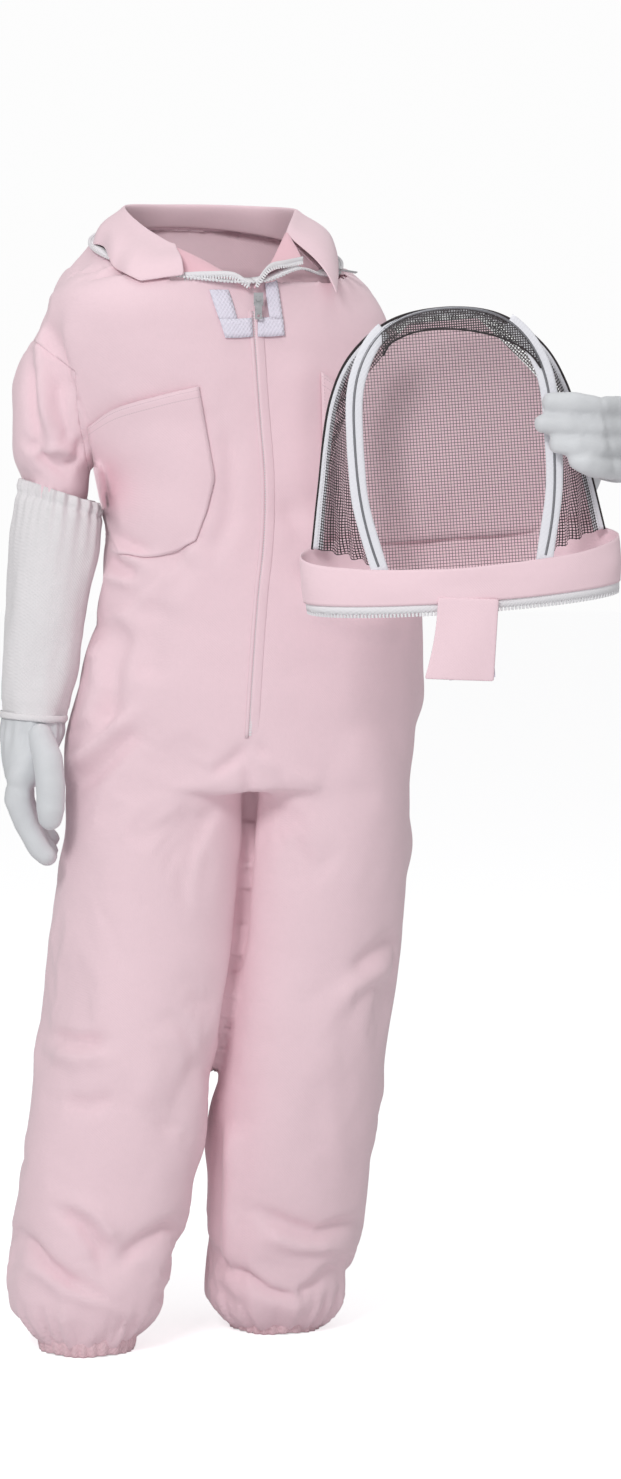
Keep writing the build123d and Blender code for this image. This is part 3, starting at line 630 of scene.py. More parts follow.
PINK = (246, 217, 225)
CLOTH = cloth_mat("cloth_pink", PINK, crumple=0.5)
# darker copy of the same pink cloth: painted shade on the inner faces of the lapels
SHADED_INNER_CLOTH = cloth_mat("cloth_pink_inner_painted_shade", (240, 196, 206))
POCKET_CLOTH = cloth_mat(
    "cloth_pocket", PINK, crumple=0.4,
    stitches=[(0, 0.004, 0.0005), (1, 0.012, 0.0005), (1, 0.004, 0.0005)])
HOOD_CLOTH = cloth_mat("cloth_hood", (250, 220, 228), crumple=0.5)
LOOP = cloth_mat("loop_white", (240, 236, 250), rough=0.95, sheen=0.6, weave=500,
                 bump=0.5, tone=0.04)
TAPE = cloth_mat("tape_white", (244, 242, 245), weave=700, bump=0.25, tone=0.03)
ELASTIC = cloth_mat("elastic_knit", (238, 205, 212), weave=450, bump=0.5)
LEATHER = leather_mat("glove_leather", (222, 224, 227))
NICKEL = metal_mat("zip_nickel", (205, 205, 208))
WIRE = metal_mat("hoop_wire", (150, 150, 155), rough=0.4)
TEETH = cloth_mat("zip_teeth_white", (240, 240, 242), rough=0.4, sheen=0.0, weave=300,
                  bump=0.05, tone=0.02)
WINDOW_NET = net_mat("net_window", (88, 74, 78), pitch=0.0034, cover=0.17)
# same netting as the window; its darker threads and denser cover are partly its doubled layers and partly painted
# shade inside the hood
SIDE_NET = net_mat("net_side", (44, 39, 41), pitch=0.0032, cover=0.34)
BROW_NET = net_mat("net_top", (62, 58, 60), pitch=0.0026, cover=0.44)
CORD = cloth_mat("seam_cord_grey", (58, 52, 54), weave=600, bump=0.2)
CANVAS = cloth_mat("gauntlet_canvas_right", (236, 233, 235), weave=650, bump=0.25,
                   crumple=1.4, tone=0.05)
STRAP = cloth_mat("strap_white", (240, 240, 246), weave=600, bump=0.3, tone=0.03,
                  stitches=[(0, 0.003, 0.0004), (0, 0.0155, 0.0004)])

# ------------------------------------------------------------------ neck ring
# The ring's plane dips towards its front, which is turned from the garment's front.
RING_TILT, RING_YAW = math.radians(16.5), math.radians(20.0)
RING_SIDE = np.array([math.cos(RING_YAW), math.sin(RING_YAW), 0.0])
RING_LEVEL = np.array([math.sin(RING_YAW), -math.cos(RING_YAW), 0.0])
RING_AXIS = RING_LEVEL * math.sin(RING_TILT) + [0, 0, math.cos(RING_TILT)]
RING_FRONT = RING_LEVEL * math.cos(RING_TILT) + [0, 0, -math.sin(RING_TILT)]


def ring_pt(degrees, radius, height):
    """Point by the neck ring; degrees run from the front to the wearer's left."""
    p = np.radians(degrees)
    spoke = np.multiply.outer(np.sin(p), RING_SIDE) + np.multiply.outer(np.cos(p), RING_FRONT)
    rise = RING_AXIS * np.asarray(height, float)[..., None]
    return NECK + spoke * radius + rise


# ------------------------------------------------------------------ garment shell
# level sections: height, centre x, centre y, half width, half depth, yaw and tilt in deg
TRUNK = [
    (655, 33, -6, 201, 134, 3, 0), (706, 37, -2, 203, 144, 3, 0),
    (777, 46, -1, 198, 145, 3, 0), (825, 53, -2, 192, 143, 3, 0),
    (872, 54, -4, 187, 140, 4, 0), (920, 53, -6, 178, 138, 5, 0),
    (967, 49, -3, 174, 140, 7, 0), (1014, 44, -1, 171, 142, 9, 0),
    (1073, 34, -1, 184, 141, 12, 0), (1132, 22, -4, 199, 139, 15, 0),
    (1173, 13, -8, 203, 135, 17, 0), (1202, 7, -11, 203, 131, 19, 0),
    (1225, 4, -11, 196, 128, 20, 2), (1248, 5, -9, 176, 130, 20, 6),
    (1264, 6, -8, 156, 134, 20, 11), (1280, 7, -8, 141, 141, 20, 16.5),
]
# the legs have no yaw or tilt
LEG_RIGHT = [
    (760, -52, 0, 100, 124), (690, -58, -2, 104, 130), (634, -63, -5, 106, 128),
    (540, -68, -12, 107, 120), (469, -77, -20, 110, 115), (398, -84, -30, 110, 112),
    (328, -99, -42, 105, 108), (259, -110, -54, 103, 104), (189, -123, -66, 99, 100),
    (120, -135, -80, 96, 95), (75, -142, -89, 92, 89), (46, -145, -95, 84, 78),
    (22, -144, -99, 66, 64), (4, -144, -101, 47, 50), (-1, -144, -101, 34, 34),
]
LEG_LEFT = [
    (760, 140, 2, 92, 124), (690, 139, 2, 95, 130), (634, 138, 2, 96, 126),
    (538, 133, 6, 97, 120), (465, 128, 9, 98, 115), (393, 118, 12, 99, 111),
    (320, 107, 15, 99, 108), (247, 99, 18, 97, 104), (174, 93, 20, 94, 100),
    (101, 86, 22, 90, 95), (56, 79, 23, 86, 88), (30, 77, 24, 79, 78),
    (12, 77, 24, 66, 64), (1, 77, 24, 50, 50), (-4, 77, 24, 36, 36),
]
# arm stations: x, y, z, radius sideways, radius in depth
ARM_RIGHT = [
    (-118, -12, 1196, 40, 46), (-146, -26, 1182, 54, 58), (-166, -36, 1150, 53, 62),
    (-175, -41, 1112, 53, 62), (-178, -44, 1075, 53, 60), (-179, -45, 1045, 51, 56),
    (-178, -45, 1016, 40, 46), (-182, -45, 985, 37, 40), (-186, -45, 950, 34, 36),
]
ARM_LEFT = [
    (110, 28, 1190, 40, 46), (155, 38, 1178, 50, 56), (192, 45, 1140, 55, 60),
    (226, 46, 1092, 58, 60), (265, 42, 1040, 58, 58), (300, 30, 985, 54, 54),
    (324, -2, 947, 50, 50), (338, -46, 938, 45, 45), (349, -84, 948, 40, 40),
    (356, -108, 957, 36, 36),
]
SHELL_VOXEL = 0.0085 if QUICK else 0.0052    # metres


def section_tube(rows, squareness, around=120, levels=150):
    """Closed tube blended through level sections; squareness 2 is an ellipse."""
    rows = np.array(rows, float)
    t = np.linspace(0, len(rows) - 1, levels)
    window = max(3, levels // len(rows)) | 1
    kernel = np.hanning(window + 2)[1:-1]
    kernel /= kernel.sum()
    columns = []
    for column in rows.T:
        c = np.interp(t, np.arange(len(rows)), column)
        padded = np.pad(c, window // 2, mode="reflect", reflect_type="odd")
        columns.append(np.convolve(padded, kernel, "valid")[:levels])
    turn = angles(around)
    c, s = np.cos(turn), np.sin(turn)
    unit_x = np.sign(c) * np.abs(c) ** (2 / squareness)
    unit_y = np.sign(s) * np.abs(s) ** (2 / squareness)
    grid = []
    for z, centre_x, centre_y, half_width, half_depth, yaw, tilt in zip(*columns):
        x, y = unit_x * half_width, unit_y * half_depth
        yaw, tilt = math.radians(yaw), math.radians(tilt)
        # the front of the section drops with tilt
        height = z + y * math.sin(tilt)
        y = y * math.cos(tilt)
        grid.append(np.stack([centre_x + x * math.cos(yaw) - y * math.sin(yaw),
                              centre_y + x * math.sin(yaw) + y * math.cos(yaw),
                              height], -1))
    return np.array(grid)


def limb(rows, stations=90):
    """Tube along a smooth path through arm stations."""
    rows = np.array(rows, float)
    path = resample(rows[:, :3], stations)
    share = lengths_along(rows[:, :3])
    share /= share[-1]
    t = np.linspace(0, 1, stations)
    side_radius = np.interp(t, share, rows[:, 3])
    depth_radius = np.interp(t, share, rows[:, 4])
    turn = angles(64)
    depth = np.array([0.0, 1.0, 0.0])
    grid = []
    for i, along in enumerate(tangents(path)):
        depth = depth - along * depth.dot(along)
        depth /= np.linalg.norm(depth)
        side = np.cross(depth, along)
        grid.append(path[i] + np.outer(np.cos(turn), side) * side_radius[i]
                    + np.outer(np.sin(turn), depth) * depth_radius[i])
    return np.array(grid)


def build_shell():
    """Trunk, legs and arms merged into one skin."""
    flat = (0, 0)
    tubes = [
        ("tube_t", section_tube(TRUNK, squareness=2.4)),
        ("tube_r", section_tube([row + flat for row in LEG_RIGHT], squareness=2.15)),
        ("tube_l", section_tube([row + flat for row in LEG_LEFT], squareness=2.15)),
        ("tube_arm", limb(ARM_RIGHT)), ("tube_arm", limb(ARM_LEFT)),
    ]
    pieces = [grid_obj(name, grid, None, wrap=True, uv=False, closed=True)
              for name, grid in tubes]
    for piece in pieces:
        face_outwards(piece)
    shell = join(pieces, "suit_all")
    apply_mod(shell, "REMESH", mode="VOXEL", voxel_size=SHELL_VOXEL, use_smooth_shade=True)
    apply_mod(shell, "SMOOTH", factor=0.5, iterations=10)
    return shell


# ------------------------------------------------------------- folds in the cloth
# kind, width, height (mm, negative for a valley), line of (across, up) on the sheet.
# A ridge is even about its line; a step is raised on the left walking along its line.
FOLD_LINES = [
    # waist and hip on the wearer's right
    ("step", 14.4, 9.0, [(-135.0, 244.2), (-156.6, 213.0), (-183.0, 185.4),
                         (-216.6, 157.8), (-252.6, 133.8)]),
    ("ridge", 18.0, -6.0, [(-137.4, 225.0), (-161.4, 191.4), (-192.6, 162.6),
                           (-228.6, 136.2)]),
    ("ridge", 20.4, -5.0, [(-180.6, 167.4), (-192.6, 119.4), (-192.6, 59.4)]),
    ("ridge", 14.4, -6.0, [(-219.0, 143.4), (-238.2, 83.4), (-247.8, -0.6)]),
    ("ridge", 6.0, -4.5, [(-237.0, 245.4), (-219.0, 229.8), (-192.6, 220.2)]),
    ("ridge", 6.0, 4.0, [(-239.4, 228.6), (-221.4, 215.4), (-197.4, 205.8)]),
    ("ridge", 6.0, -4.5, [(-243.0, 215.4), (-226.2, 201.0), (-207.0, 191.4)]),
    ("ridge", 6.0, 4.0, [(-247.8, 193.8), (-231.0, 186.6), (-214.2, 181.8)]),
    ("ridge", 8.4, 6.0, [(-286.2, -42.6), (-255.0, -10.2), (-219.0, 28.2)]),
    ("ridge", 10.8, -5.0, [(-281.4, -63.0), (-247.8, -31.8), (-204.6, 13.8)]),
    ("ridge", 9.6, 5.0, [(-257.4, 119.4), (-252.6, 59.4), (-271.8, -0.6)]),
    # chest
    ("ridge", 12.0, -3.0, [(-106.2, 383.4), (-94.2, 323.4), (-99.0, 263.4),
                           (-120.6, 203.4)]),
    ("ridge", 26.4, 3.0, [(-12.6, 467.4), (-17.4, 371.4), (-15.0, 263.4)]),
    ("ridge", 16.8, -3.5, [(-22.2, 215.4), (23.4, 179.4), (73.8, 153.0)]),
    ("ridge", 14.4, 3.5, [(-12.6, 167.4), (41.4, 141.0), (107.4, 126.6)]),
    ("ridge", 12.0, -3.0, [(-36.6, 287.4), (-12.6, 239.4), (23.4, 208.2)]),
    # crotch
    ("ridge", 6.0, -3.5, [(-70.2, -3.0), (-58.2, -15.0), (-41.4, -29.4), (-27.0, -48.6)]),
    ("ridge", 7.2, -4.0, [(-75.0, -6.6), (-96.6, -27.0), (-123.0, -43.8)]),
    ("ridge", 10.8, 3.5, [(-66.6, -15.0), (-30.6, -39.0), (13.8, -60.6)]),
    ("ridge", 6.0, -9.0, [(-77.4, -24.6), (-75.0, -72.6), (-77.4, -144.6),
                          (-84.6, -240.6), (-99.0, -324.6), (-113.4, -408.6)]),
    # right leg
    ("ridge", 9.6, -5.0, [(-317.4, -348.6), (-282.6, -360.6), (-240.6, -358.2)]),
    ("ridge", 10.8, 4.0, [(-312.6, -367.8), (-276.6, -379.8), (-238.2, -375.0)]),
    ("ridge", 10.8, -4.0, [(-295.8, -430.2), (-262.2, -435.0), (-231.0, -425.4)]),
    ("ridge", 8.4, -6.0, [(-300.6, -558.6), (-271.8, -574.2), (-250.2, -607.8),
                          (-247.8, -634.2)]),
    ("ridge", 9.6, 5.0, [(-281.4, -552.6), (-252.6, -569.4), (-228.6, -600.6)]),
    ("ridge", 9.6, -5.0, [(-348.6, -588.6), (-318.6, -627.0), (-276.6, -660.6)]),
    ("ridge", 10.8, -4.5, [(-228.6, -624.6), (-198.6, -600.6), (-156.6, -570.6)]),
    ("ridge", 8.4, 4.0, [(-343.8, -627.0), (-300.6, -660.6), (-246.6, -679.8)]),
    ("ridge", 16.8, 3.0, [(-149.4, -336.6), (-180.6, -384.6), (-204.6, -444.6)]),
    ("ridge", 14.4, -3.5, [(-125.4, -372.6), (-156.6, -420.6), (-175.8, -480.6)]),
    # left leg
    ("ridge", 10.8, -5.0, [(107.4, -228.6), (73.8, -255.0), (47.4, -279.0)]),
    ("ridge", 12.0, 4.0, [(102.6, -264.6), (66.6, -279.0), (28.2, -312.6)]),
    ("ridge", 8.4, -5.5, [(-58.2, -562.2), (-24.6, -579.0), (11.4, -591.0),
                          (61.8, -571.8)]),
    ("ridge", 9.6, 4.5, [(-51.0, -586.2), (-12.6, -605.4), (35.4, -605.4)]),
    ("ridge", 7.2, -4.0, [(-103.8, -432.6), (-106.2, -528.6), (-113.4, -660.6)]),
    ("ridge", 8.4, 3.5, [(-89.4, -444.6), (-89.4, -540.6), (-96.6, -648.6)]),
    ("ridge", 9.6, -4.0, [(-96.6, -627.0), (-48.6, -660.6), (-12.6, -672.6)]),
    ("ridge", 9.6, -4.0, [(35.4, -627.0), (9.0, -655.8), (-17.4, -672.6)]),
    ("ridge", 16.8, 2.5, [(42.6, -528.6), (23.4, -420.6), (23.4, -336.6)]),
    # right sleeve
    ("step", 9.6, 7.0, [(-295.8, 520.2), (-293.4, 489.0), (-283.8, 448.2), (-276.6, 409.8),
                        (-264.6, 371.4), (-250.2, 323.4), (-243.0, 280.2)]),
    ("ridge", 7.2, 5.0, [(-312.6, 527.4), (-313.8, 498.6), (-319.8, 469.8),
                         (-321.0, 441.0), (-318.6, 400.2), (-310.2, 359.4)]),
    ("ridge", 7.2, -5.0, [(-329.4, 460.2), (-331.8, 417.0), (-327.0, 371.4),
                          (-317.4, 323.4)]),
    ("ridge", 8.4, -5.0, [(-300.6, 441.0), (-298.2, 395.4), (-283.8, 345.0)]),
    ("ridge", 6.0, -5.0, [(-341.4, 359.4), (-319.8, 333.0), (-293.4, 311.4)]),
    ("ridge", 6.0, 4.5, [(-336.6, 340.2), (-305.4, 345.0), (-271.8, 330.6)]),
    ("ridge", 6.0, -4.0, [(-269.4, 359.4), (-276.6, 335.4), (-293.4, 318.6)]),
]
HEM_GATHERS = ((-144, -100, 2), (77, 24, -3))    # centre x, centre y, height
WAIST_HEIGHT = 924                               # gathers across the back


def line_distance(x, y, line):
    """Distance to a polyline, side (positive on the right) and share along it."""
    nearest = np.full(x.shape, 1e9)
    side = np.zeros(x.shape)
    along = np.zeros(x.shape)
    line = np.asarray(line, float)
    total = lengths_along(line)
    for i, (a, b) in enumerate(zip(line[:-1], line[1:])):
        d = b - a
        t = np.clip(((x - a[0]) * d[0] + (y - a[1]) * d[1]) / (d @ d), 0, 1)
        r = np.hypot(x - (a[0] + d[0] * t), y - (a[1] + d[1] * t))
        closer = r < nearest
        nearest = np.where(closer, r, nearest)
        cross = d[1] * (x - a[0]) - d[0] * (y - a[1])
        side = np.where(closer, np.sign(cross), side)
        here = (total[i] + t * (total[i + 1] - total[i])) / total[-1]
        along = np.where(closer, here, along)
    return nearest, side, along


def drawn_folds(across, up, facing):
    """Height of the drawn folds at sheet places, fading where the cloth turns away."""
    push = np.zeros(len(across))
    for kind, width, height, line in FOLD_LINES:
        low = np.min(line, axis=0) - 4 * width
        high = np.max(line, axis=0) + 4 * width
        near = (across > low[0]) & (across < high[0]) & (up > low[1]) & (up < high[1])
        if not near.any():
            continue
        r, side, along = line_distance(across[near], up[near], line)
        ends = smooth_step(0, 0.22, along) * smooth_step(0, 0.22, 1 - along)
        if kind == "ridge":
            profile = bell(r, 0, width) * height * 2.0 * (0.25 + 0.75 * ends)
        else:
            edge = 0.5 - 0.5 * np.tanh(side * r / (width * 0.3))
            profile = 1.5 * height * bell(r, 0, width * 2.2) * edge * ends
        push[near] += profile * facing[near]
    return push


def fold(cloth):
    points = read_points(cloth.data)
    outward = normals(cloth)
    to_eye = EYE - points
    to_eye /= np.linalg.norm(to_eye, axis=1)[:, None]
    facing = smooth_step(0.0, 0.35, (outward * to_eye).sum(1))
    push = drawn_folds(*on_sheet(points), facing)

    # quiet all-over unevenness; the back gets its own broad folds
    x, y, z = points.T
    push += value_noise(points / np.array([95, 95, 120.0]), 3) * 3.2
    skewed = points + [0, 0, 0.35] * points[:, :1]
    push += value_noise(skewed / np.array([60, 60, 38.0]), 5) * (
        1.0 + 2.6 * bell(z, 930, 70) + 1.6 * bell(z, 700, 70))
    skewed = points + [0, 0, 0.6] * points[:, :1]
    push += (1 - facing) * value_noise(skewed / np.array([70, 70, 45.0]), 9) * 5.0
    push += value_noise(points / 24.0, 11) * 0.5

    # gathers above each hem
    for centre_x, centre_y, hem_height in HEM_GATHERS:
        turn = np.arctan2(y - centre_y, x - centre_x)
        near = (np.hypot(x - centre_x, y - centre_y) < 110) & (z < 150)
        above = z - hem_height
        push += smooth_step(75, 20, above) * near * (
            np.sin(turn * 17 + 2.2 * np.sin(turn * 3 + centre_x)) * 2.4
            + np.sin(turn * 29 + 1.3 * np.sin(turn * 5)) * 1.2)
        lattice = np.stack([turn * 3.2, z / 45.0, 0 * z + centre_x], -1)
        push += smooth_step(150, 60, above) * near * value_noise(lattice, 21) * 3.2
    # gathers at the back waist
    waist = bell(z, WAIST_HEIGHT, 26) * smooth_step(10, 60, y)
    push += waist * (-4.0 + 2.6 * np.sin(x / 4.6 + 1.4 * np.sin(x / 17)))
    set_points(cloth, points + outward * push[:, None])


SETTLE_FRAMES = 16
SETTLE_LIMIT = 6.0      # mm that any point may move
PIN_ABOVE, PIN_BELOW = 1262, 14


def cloth_settle(cloth):
    """Let the cloth take up its slack, keeping each point near where it was."""
    if QUICK:
        return
    start = read_points(cloth.data)
    pinned = (start[:, 2] > PIN_ABOVE) | (start[:, 2] < PIN_BELOW)
    group = cloth.vertex_groups.new(name="pin")
    group.add([int(i) for i in np.nonzero(pinned)[0]], 1.0, "REPLACE")
    modifier = cloth.modifiers.new("c", "CLOTH")
    settings = modifier.settings
    settings.quality = 5
    settings.mass = 0.25
    settings.tension_stiffness = 18
    settings.compression_stiffness = 18
    settings.shear_stiffness = 6
    settings.bending_stiffness = 0.4
    settings.use_pressure = True
    settings.uniform_pressure_force = 1.6
    settings.shrink_min = -0.035
    settings.effector_weights.gravity = 0.0
    settings.vertex_group_mass = "pin"
    scene = bpy.context.scene
    cache = modifier.point_cache
    cache.frame_start, cache.frame_end = 1, SETTLE_FRAMES
    for step in range(1, SETTLE_FRAMES + 1):
        scene.frame_set(step)
    evaluated = cloth.evaluated_get(bpy.context.evaluated_depsgraph_get())
    move = read_points(evaluated.data) - start
    cloth.modifiers.remove(modifier)
    cloth.vertex_groups.remove(group)
    scene.frame_set(1)
    length = np.linalg.norm(move, axis=1)
    limited = SETTLE_LIMIT * np.tanh(length / SETTLE_LIMIT)
    scale = np.where(length > 1e-9, limited / np.maximum(length, 1e-9), 0)
    set_points(cloth, start + move * scale[:, None])


body = build_shell()
fold(body)
apply_mod(body, "SMOOTH", factor=0.5, iterations=2)
cloth_settle(body)
apply_mod(body, "SMOOTH", factor=0.4, iterations=1)
body_tree = BVHTree.FromPolygons([tuple(p) for p in read_points(body.data)],
                                 [tuple(p.vertices) for p in body.data.polygons])


def on_body(across, up, lift=0.0):
    """Drop sheet places onto the cloth; returns points lifted by lift mm, and normals."""
    across, up, lift = np.broadcast_arrays(
        np.asarray(across, float), np.asarray(up, float), np.asarray(lift, float))
    points = np.empty(across.shape + (3,))
    outward = np.empty(across.shape + (3,))
    for i in np.ndindex(across.shape):
        aim = sight_point(across[i], up[i], -140.0)
        ray = aim - EYE
        ray /= np.linalg.norm(ray)
        hit, normal, _, _ = body_tree.ray_cast(Vector(EYE), Vector(ray))
        if hit is None:
            hit, normal = Vector(aim), Vector((0, -1, 0))
        normal = np.array(normal)
        if normal @ ray > 0:
            normal = -normal
        points[i] = np.array(hit) + normal * lift[i]
        outward[i] = normal
    return points, outward


# ------------------------------------------------ cut the shell into sewn pieces
# drop-shoulder seams: point on the seam plane and direction down the arm
SEAM_RIGHT = (np.array([-190.0, -35.0, 1166.0]), np.array([-0.60, 0.0, -0.80]))
SEAM_LEFT = (np.array([215.0, 45.0, 1158.0]), np.array([0.62, 0.0, -0.785]))
SEAM_OVERLAP = 9.0
ARMPIT_HEIGHT = 1100     # the walls between arm and trunk bend here
SLEEVE_END_RIGHT = 957   # height below which the right sleeve is its forearm tube
# plane point, plane normal, box low corner, box high corner
ARM_WALLS = [
    ((-152, 0, 1100), (1, 0, 0.02), (-185, -200, 1096), (-120, 200, 1210)),
    ((-152, 0, 1100), (1, 0, 0.16), (-175, -200, 996), (-115, 200, 1104)),
    ((-136, 0, 1000), (1, 0, 0), (-160, -200, 925), (-115, 200, 1004)),
    ((0, 0, 930), (0, 0, 1), (-260, -200, 915), (-136, 200, 945)),
    ((198, 0, 1100), (1, 0, -0.05), (165, -200, 1096), (240, 220, 1210)),
    ((198, 0, 1100), (1, 0, 0.313), (175, -200, 980), (262, 220, 1104)),
    ((234, 0, 985), (1, 0, 0), (205, -200, 870), (262, 220, 990)),
]
# forearm inside each glove: same columns as the arm stations
FOREARM_RIGHT = [
    (-182, -45, 985, 35, 38), (-186, -45, 950, 33.5, 35.5), (-192, -45, 905, 33, 33.5),
    (-199, -45, 850, 32, 31), (-209, -45, 757, 27, 25),
]
FOREARM_LEFT = [
    (346, -74, 945, 39, 39), (351, -92, 951, 37, 37), (358, -112, 958, 34.5, 34.5),
    (368, -138, 968, 34, 34), (395.5, -221, 998, 26, 26),
]


def in_right_arm(c):
    x, z = c[:, 0], c[:, 2]
    wall = np.where(z > ARMPIT_HEIGHT, -152 - (z - ARMPIT_HEIGHT) * 0.02,
                    -152 + np.clip((ARMPIT_HEIGHT - z) / 100, 0, 1) * 16)
    return (x < wall) & (z > 930)


def in_left_arm(c):
    x, z = c[:, 0], c[:, 2]
    wall = np.where(z > ARMPIT_HEIGHT, 198 + (z - ARMPIT_HEIGHT) * 0.05,
                    198 + np.clip((ARMPIT_HEIGHT - z) / 115, 0, 1) * 36)
    return (x > wall) & (z > 880)


def pick_faces(bm, chosen):
    """Faces whose centres, in mm, satisfy the test."""
    centres = np.array([f.calc_center_median() for f in bm.faces]) * 1000 + NECK
    return [f for f, keep in zip(list(bm.faces), chosen(centres)) if keep]


def drop(piece, chosen):
    with editing(piece) as bm:
        bmesh.ops.delete(bm, geom=pick_faces(bm, chosen), context="FACES")


def trim(piece, point, normal):
    """Keep only the side of the plane that the normal points to."""
    with editing(piece) as bm:
        geom = list(bm.verts) + list(bm.edges) + list(bm.faces)
        bmesh.ops.bisect_plane(bm, geom=geom, plane_co=Vector(to_frame(point)),
                               plane_no=Vector(normal), clear_inner=True)


def score(piece, chosen, point, normal):
    """Cut edges along a plane into the chosen faces, so pieces part cleanly."""
    with editing(piece) as bm:
        faces = pick_faces(bm, chosen)
        edges = {e for f in faces for e in f.edges}
        verts = {v for f in faces for v in f.verts}
        bmesh.ops.bisect_plane(bm, geom=list(verts) + list(edges) + faces,
                               plane_co=Vector(to_frame(point)), plane_no=Vector(normal))


def cut_sleeve(name, seam, in_arm, forearm_rows, end_height=None):
    """Sleeve running up under the shoulder seam, with its forearm tube."""
    point, down_arm = seam
    sleeve = body.copy()
    sleeve.data = body.data.copy()
    sleeve.name = name
    sleeve.data.name = name
    bpy.context.scene.collection.objects.link(sleeve)
    trim(sleeve, point - down_arm * SEAM_OVERLAP, down_arm)
    drop(sleeve, lambda c: ~in_arm(c))
    if end_height is not None:
        trim(sleeve, (0.0, 0.0, end_height), (0.0, 0.0, 1.0))

    def seam_relief(points):
        # tucked under the seam, with a low ridge just below it
        past = (points - point) @ down_arm
        return 0.9 * bell(past, 6, 4.0) - 1.5 * smooth_step(3.0, -1.0, past)

    push_out(sleeve, seam_relief)
    forearm = grid_obj(name + "_forearm", limb(forearm_rows, stations=60), None,
                       wrap=True, uv=False)
    face_outwards(forearm)
    push_out(forearm, lambda points: value_noise(points / 26.0, 91) * 0.9)
    return join([sleeve, forearm], name)


for wall_point, wall_normal, low, high in ARM_WALLS:
    score(body, lambda c: ((c > np.array(low)) & (c < np.array(high))).all(1),
          wall_point, wall_normal)
sleeve_right = cut_sleeve("sleeve_right", SEAM_RIGHT, in_right_arm, FOREARM_RIGHT,
                          SLEEVE_END_RIGHT)
sleeve_left = cut_sleeve("sleeve_left", SEAM_LEFT, in_left_arm, FOREARM_LEFT)
for (seam_point, down_arm), in_arm in ((SEAM_RIGHT, in_right_arm), (SEAM_LEFT, in_left_arm)):
    score(body, in_arm, seam_point, down_arm)
    drop(body, lambda c: ((c - seam_point) @ down_arm > 0) & in_arm(c))
# open neck: drop the cap inside the zip ring
drop(body, lambda c: (c - NECK) @ RING_AXIS > -2.5)
body.name = "coverall_body"
for piece in (body, sleeve_right, sleeve_left):
    piece.data.materials.clear()
    piece.data.materials.append(CLOTH)
    thicken(piece, 1.3, offset=-1.0)
register(body, "coverall", "coverall_cloth", "front_panel_right", "front_panel_left",
         "back_panel_right", "back_panel_left", "back_waist_elastic")
for sleeve, sleeve_node, start, end in (
        (sleeve_right, "right_sleeve", (-188, -38, 1168), (-205, -40, 1085)),
        (sleeve_left, "left_sleeve", (212, 45, 1160), (268, 45, 1075))):
    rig.blend(sleeve, "coverall", sleeve_node,
             start=tuple(to_frame(start)), end=tuple(to_frame(end)))
    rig.slot(sleeve, "coverall_cloth")
    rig.replaces(sleeve, sleeve_node)


# ------------------------------------------------------------- tapes, teeth and cords
def ribbon(name, middle, side, width, thickness):
    """Flat tape along a line; side holds the unit direction across it."""
    steps = np.linspace(-0.5, 0.5, 3)
    grid = middle[:, None, :] + side[:, None, :] * (steps[None, :, None] * width)
    piece = grid_obj(name, grid, TAPE)
    thicken(piece, thickness)
    return piece


def zip_row(name, line, up, pitch, size):
    """Row of block teeth; up is square to the tape, size is along, across, up."""
    d = lengths_along(line)
    s = (np.arange(int(d[-1] / pitch)) + 0.5) * pitch

    def at_teeth(values):
        return np.stack([np.interp(s, d, values[:, i]) for i in range(3)], -1)

    centres, up, along = at_teeth(line), at_teeth(up), at_teeth(tangents(line))
    up /= np.linalg.norm(up, axis=1)[:, None]
    along -= up * (along * up).sum(1)[:, None]
    along /= np.linalg.norm(along, axis=1)[:, None]
    across = np.cross(up, along)
    ends = (-.5, .5)
    corners = np.array([[x, y, z] for x in ends for y in ends for z in ends]) * size
    sides = [(0, 1, 3, 2), (4, 6, 7, 5), (0, 4, 5, 1), (2, 3, 7, 6), (0, 2, 6, 4), (1, 5, 7, 3)]
    verts, faces = [], []
    for i, centre in enumerate(centres):
        verts.append(centre + corners @ np.array([along[i], across[i], up[i]]))
        faces += [tuple(8 * i + k for k in corner_ids) for corner_ids in sides]
    return new_obj(name, np.vstack(verts), faces, TEETH, smooth=False)


def cord_along(name, path, radius, around=10):
    turn = angles(around)
    side = np.array([0.31, 0.2, 0.93])
    grid = []
    for point, along in zip(path, tangents(path)):
        side = side - along * side.dot(along)
        side /= np.linalg.norm(side)
        other = np.cross(side, along)
        circle = np.outer(np.cos(turn), other) + np.outer(np.sin(turn), side)
        grid.append(point + circle * radius)
    return grid_obj(name, grid, CORD, wrap=True, closed=True)


# ------------------------------------------------------------- neck zip
def ring_rise(degrees):
    """The ring lifts with the open lapel on the wearer's left."""
    return 15.0 * bell((degrees + 180) % 360 - 180, 22, 13.0)


def neck_zip():
    turn = np.arange(0, 361, 3.0)
    middle = ring_pt(turn, 139.0, 1.2 + ring_rise(turn))
    side = ring_pt(turn, 147.8, 0.8 + ring_rise(turn)) - middle
    side /= np.linalg.norm(side, axis=1)[:, None]
    tape = ribbon("neck_zip_tape_cloth", middle + side * 0.2, side, width=17.0, thickness=1.0)
    register(tape, "coverall", "zip_tape", "neck_zip_tape")
    turn = np.linspace(0, 360, 400)
    line = ring_pt(turn, 149.3, 1.2 + ring_rise(turn))
    teeth = zip_row("neck_zip_teeth_row", line, np.repeat(RING_AXIS[None], len(line), 0),
                    pitch=4.2, size=(2.4, 3.4, 2.2))
    register(teeth, "coverall", "zip_teeth", "neck_zip_teeth")


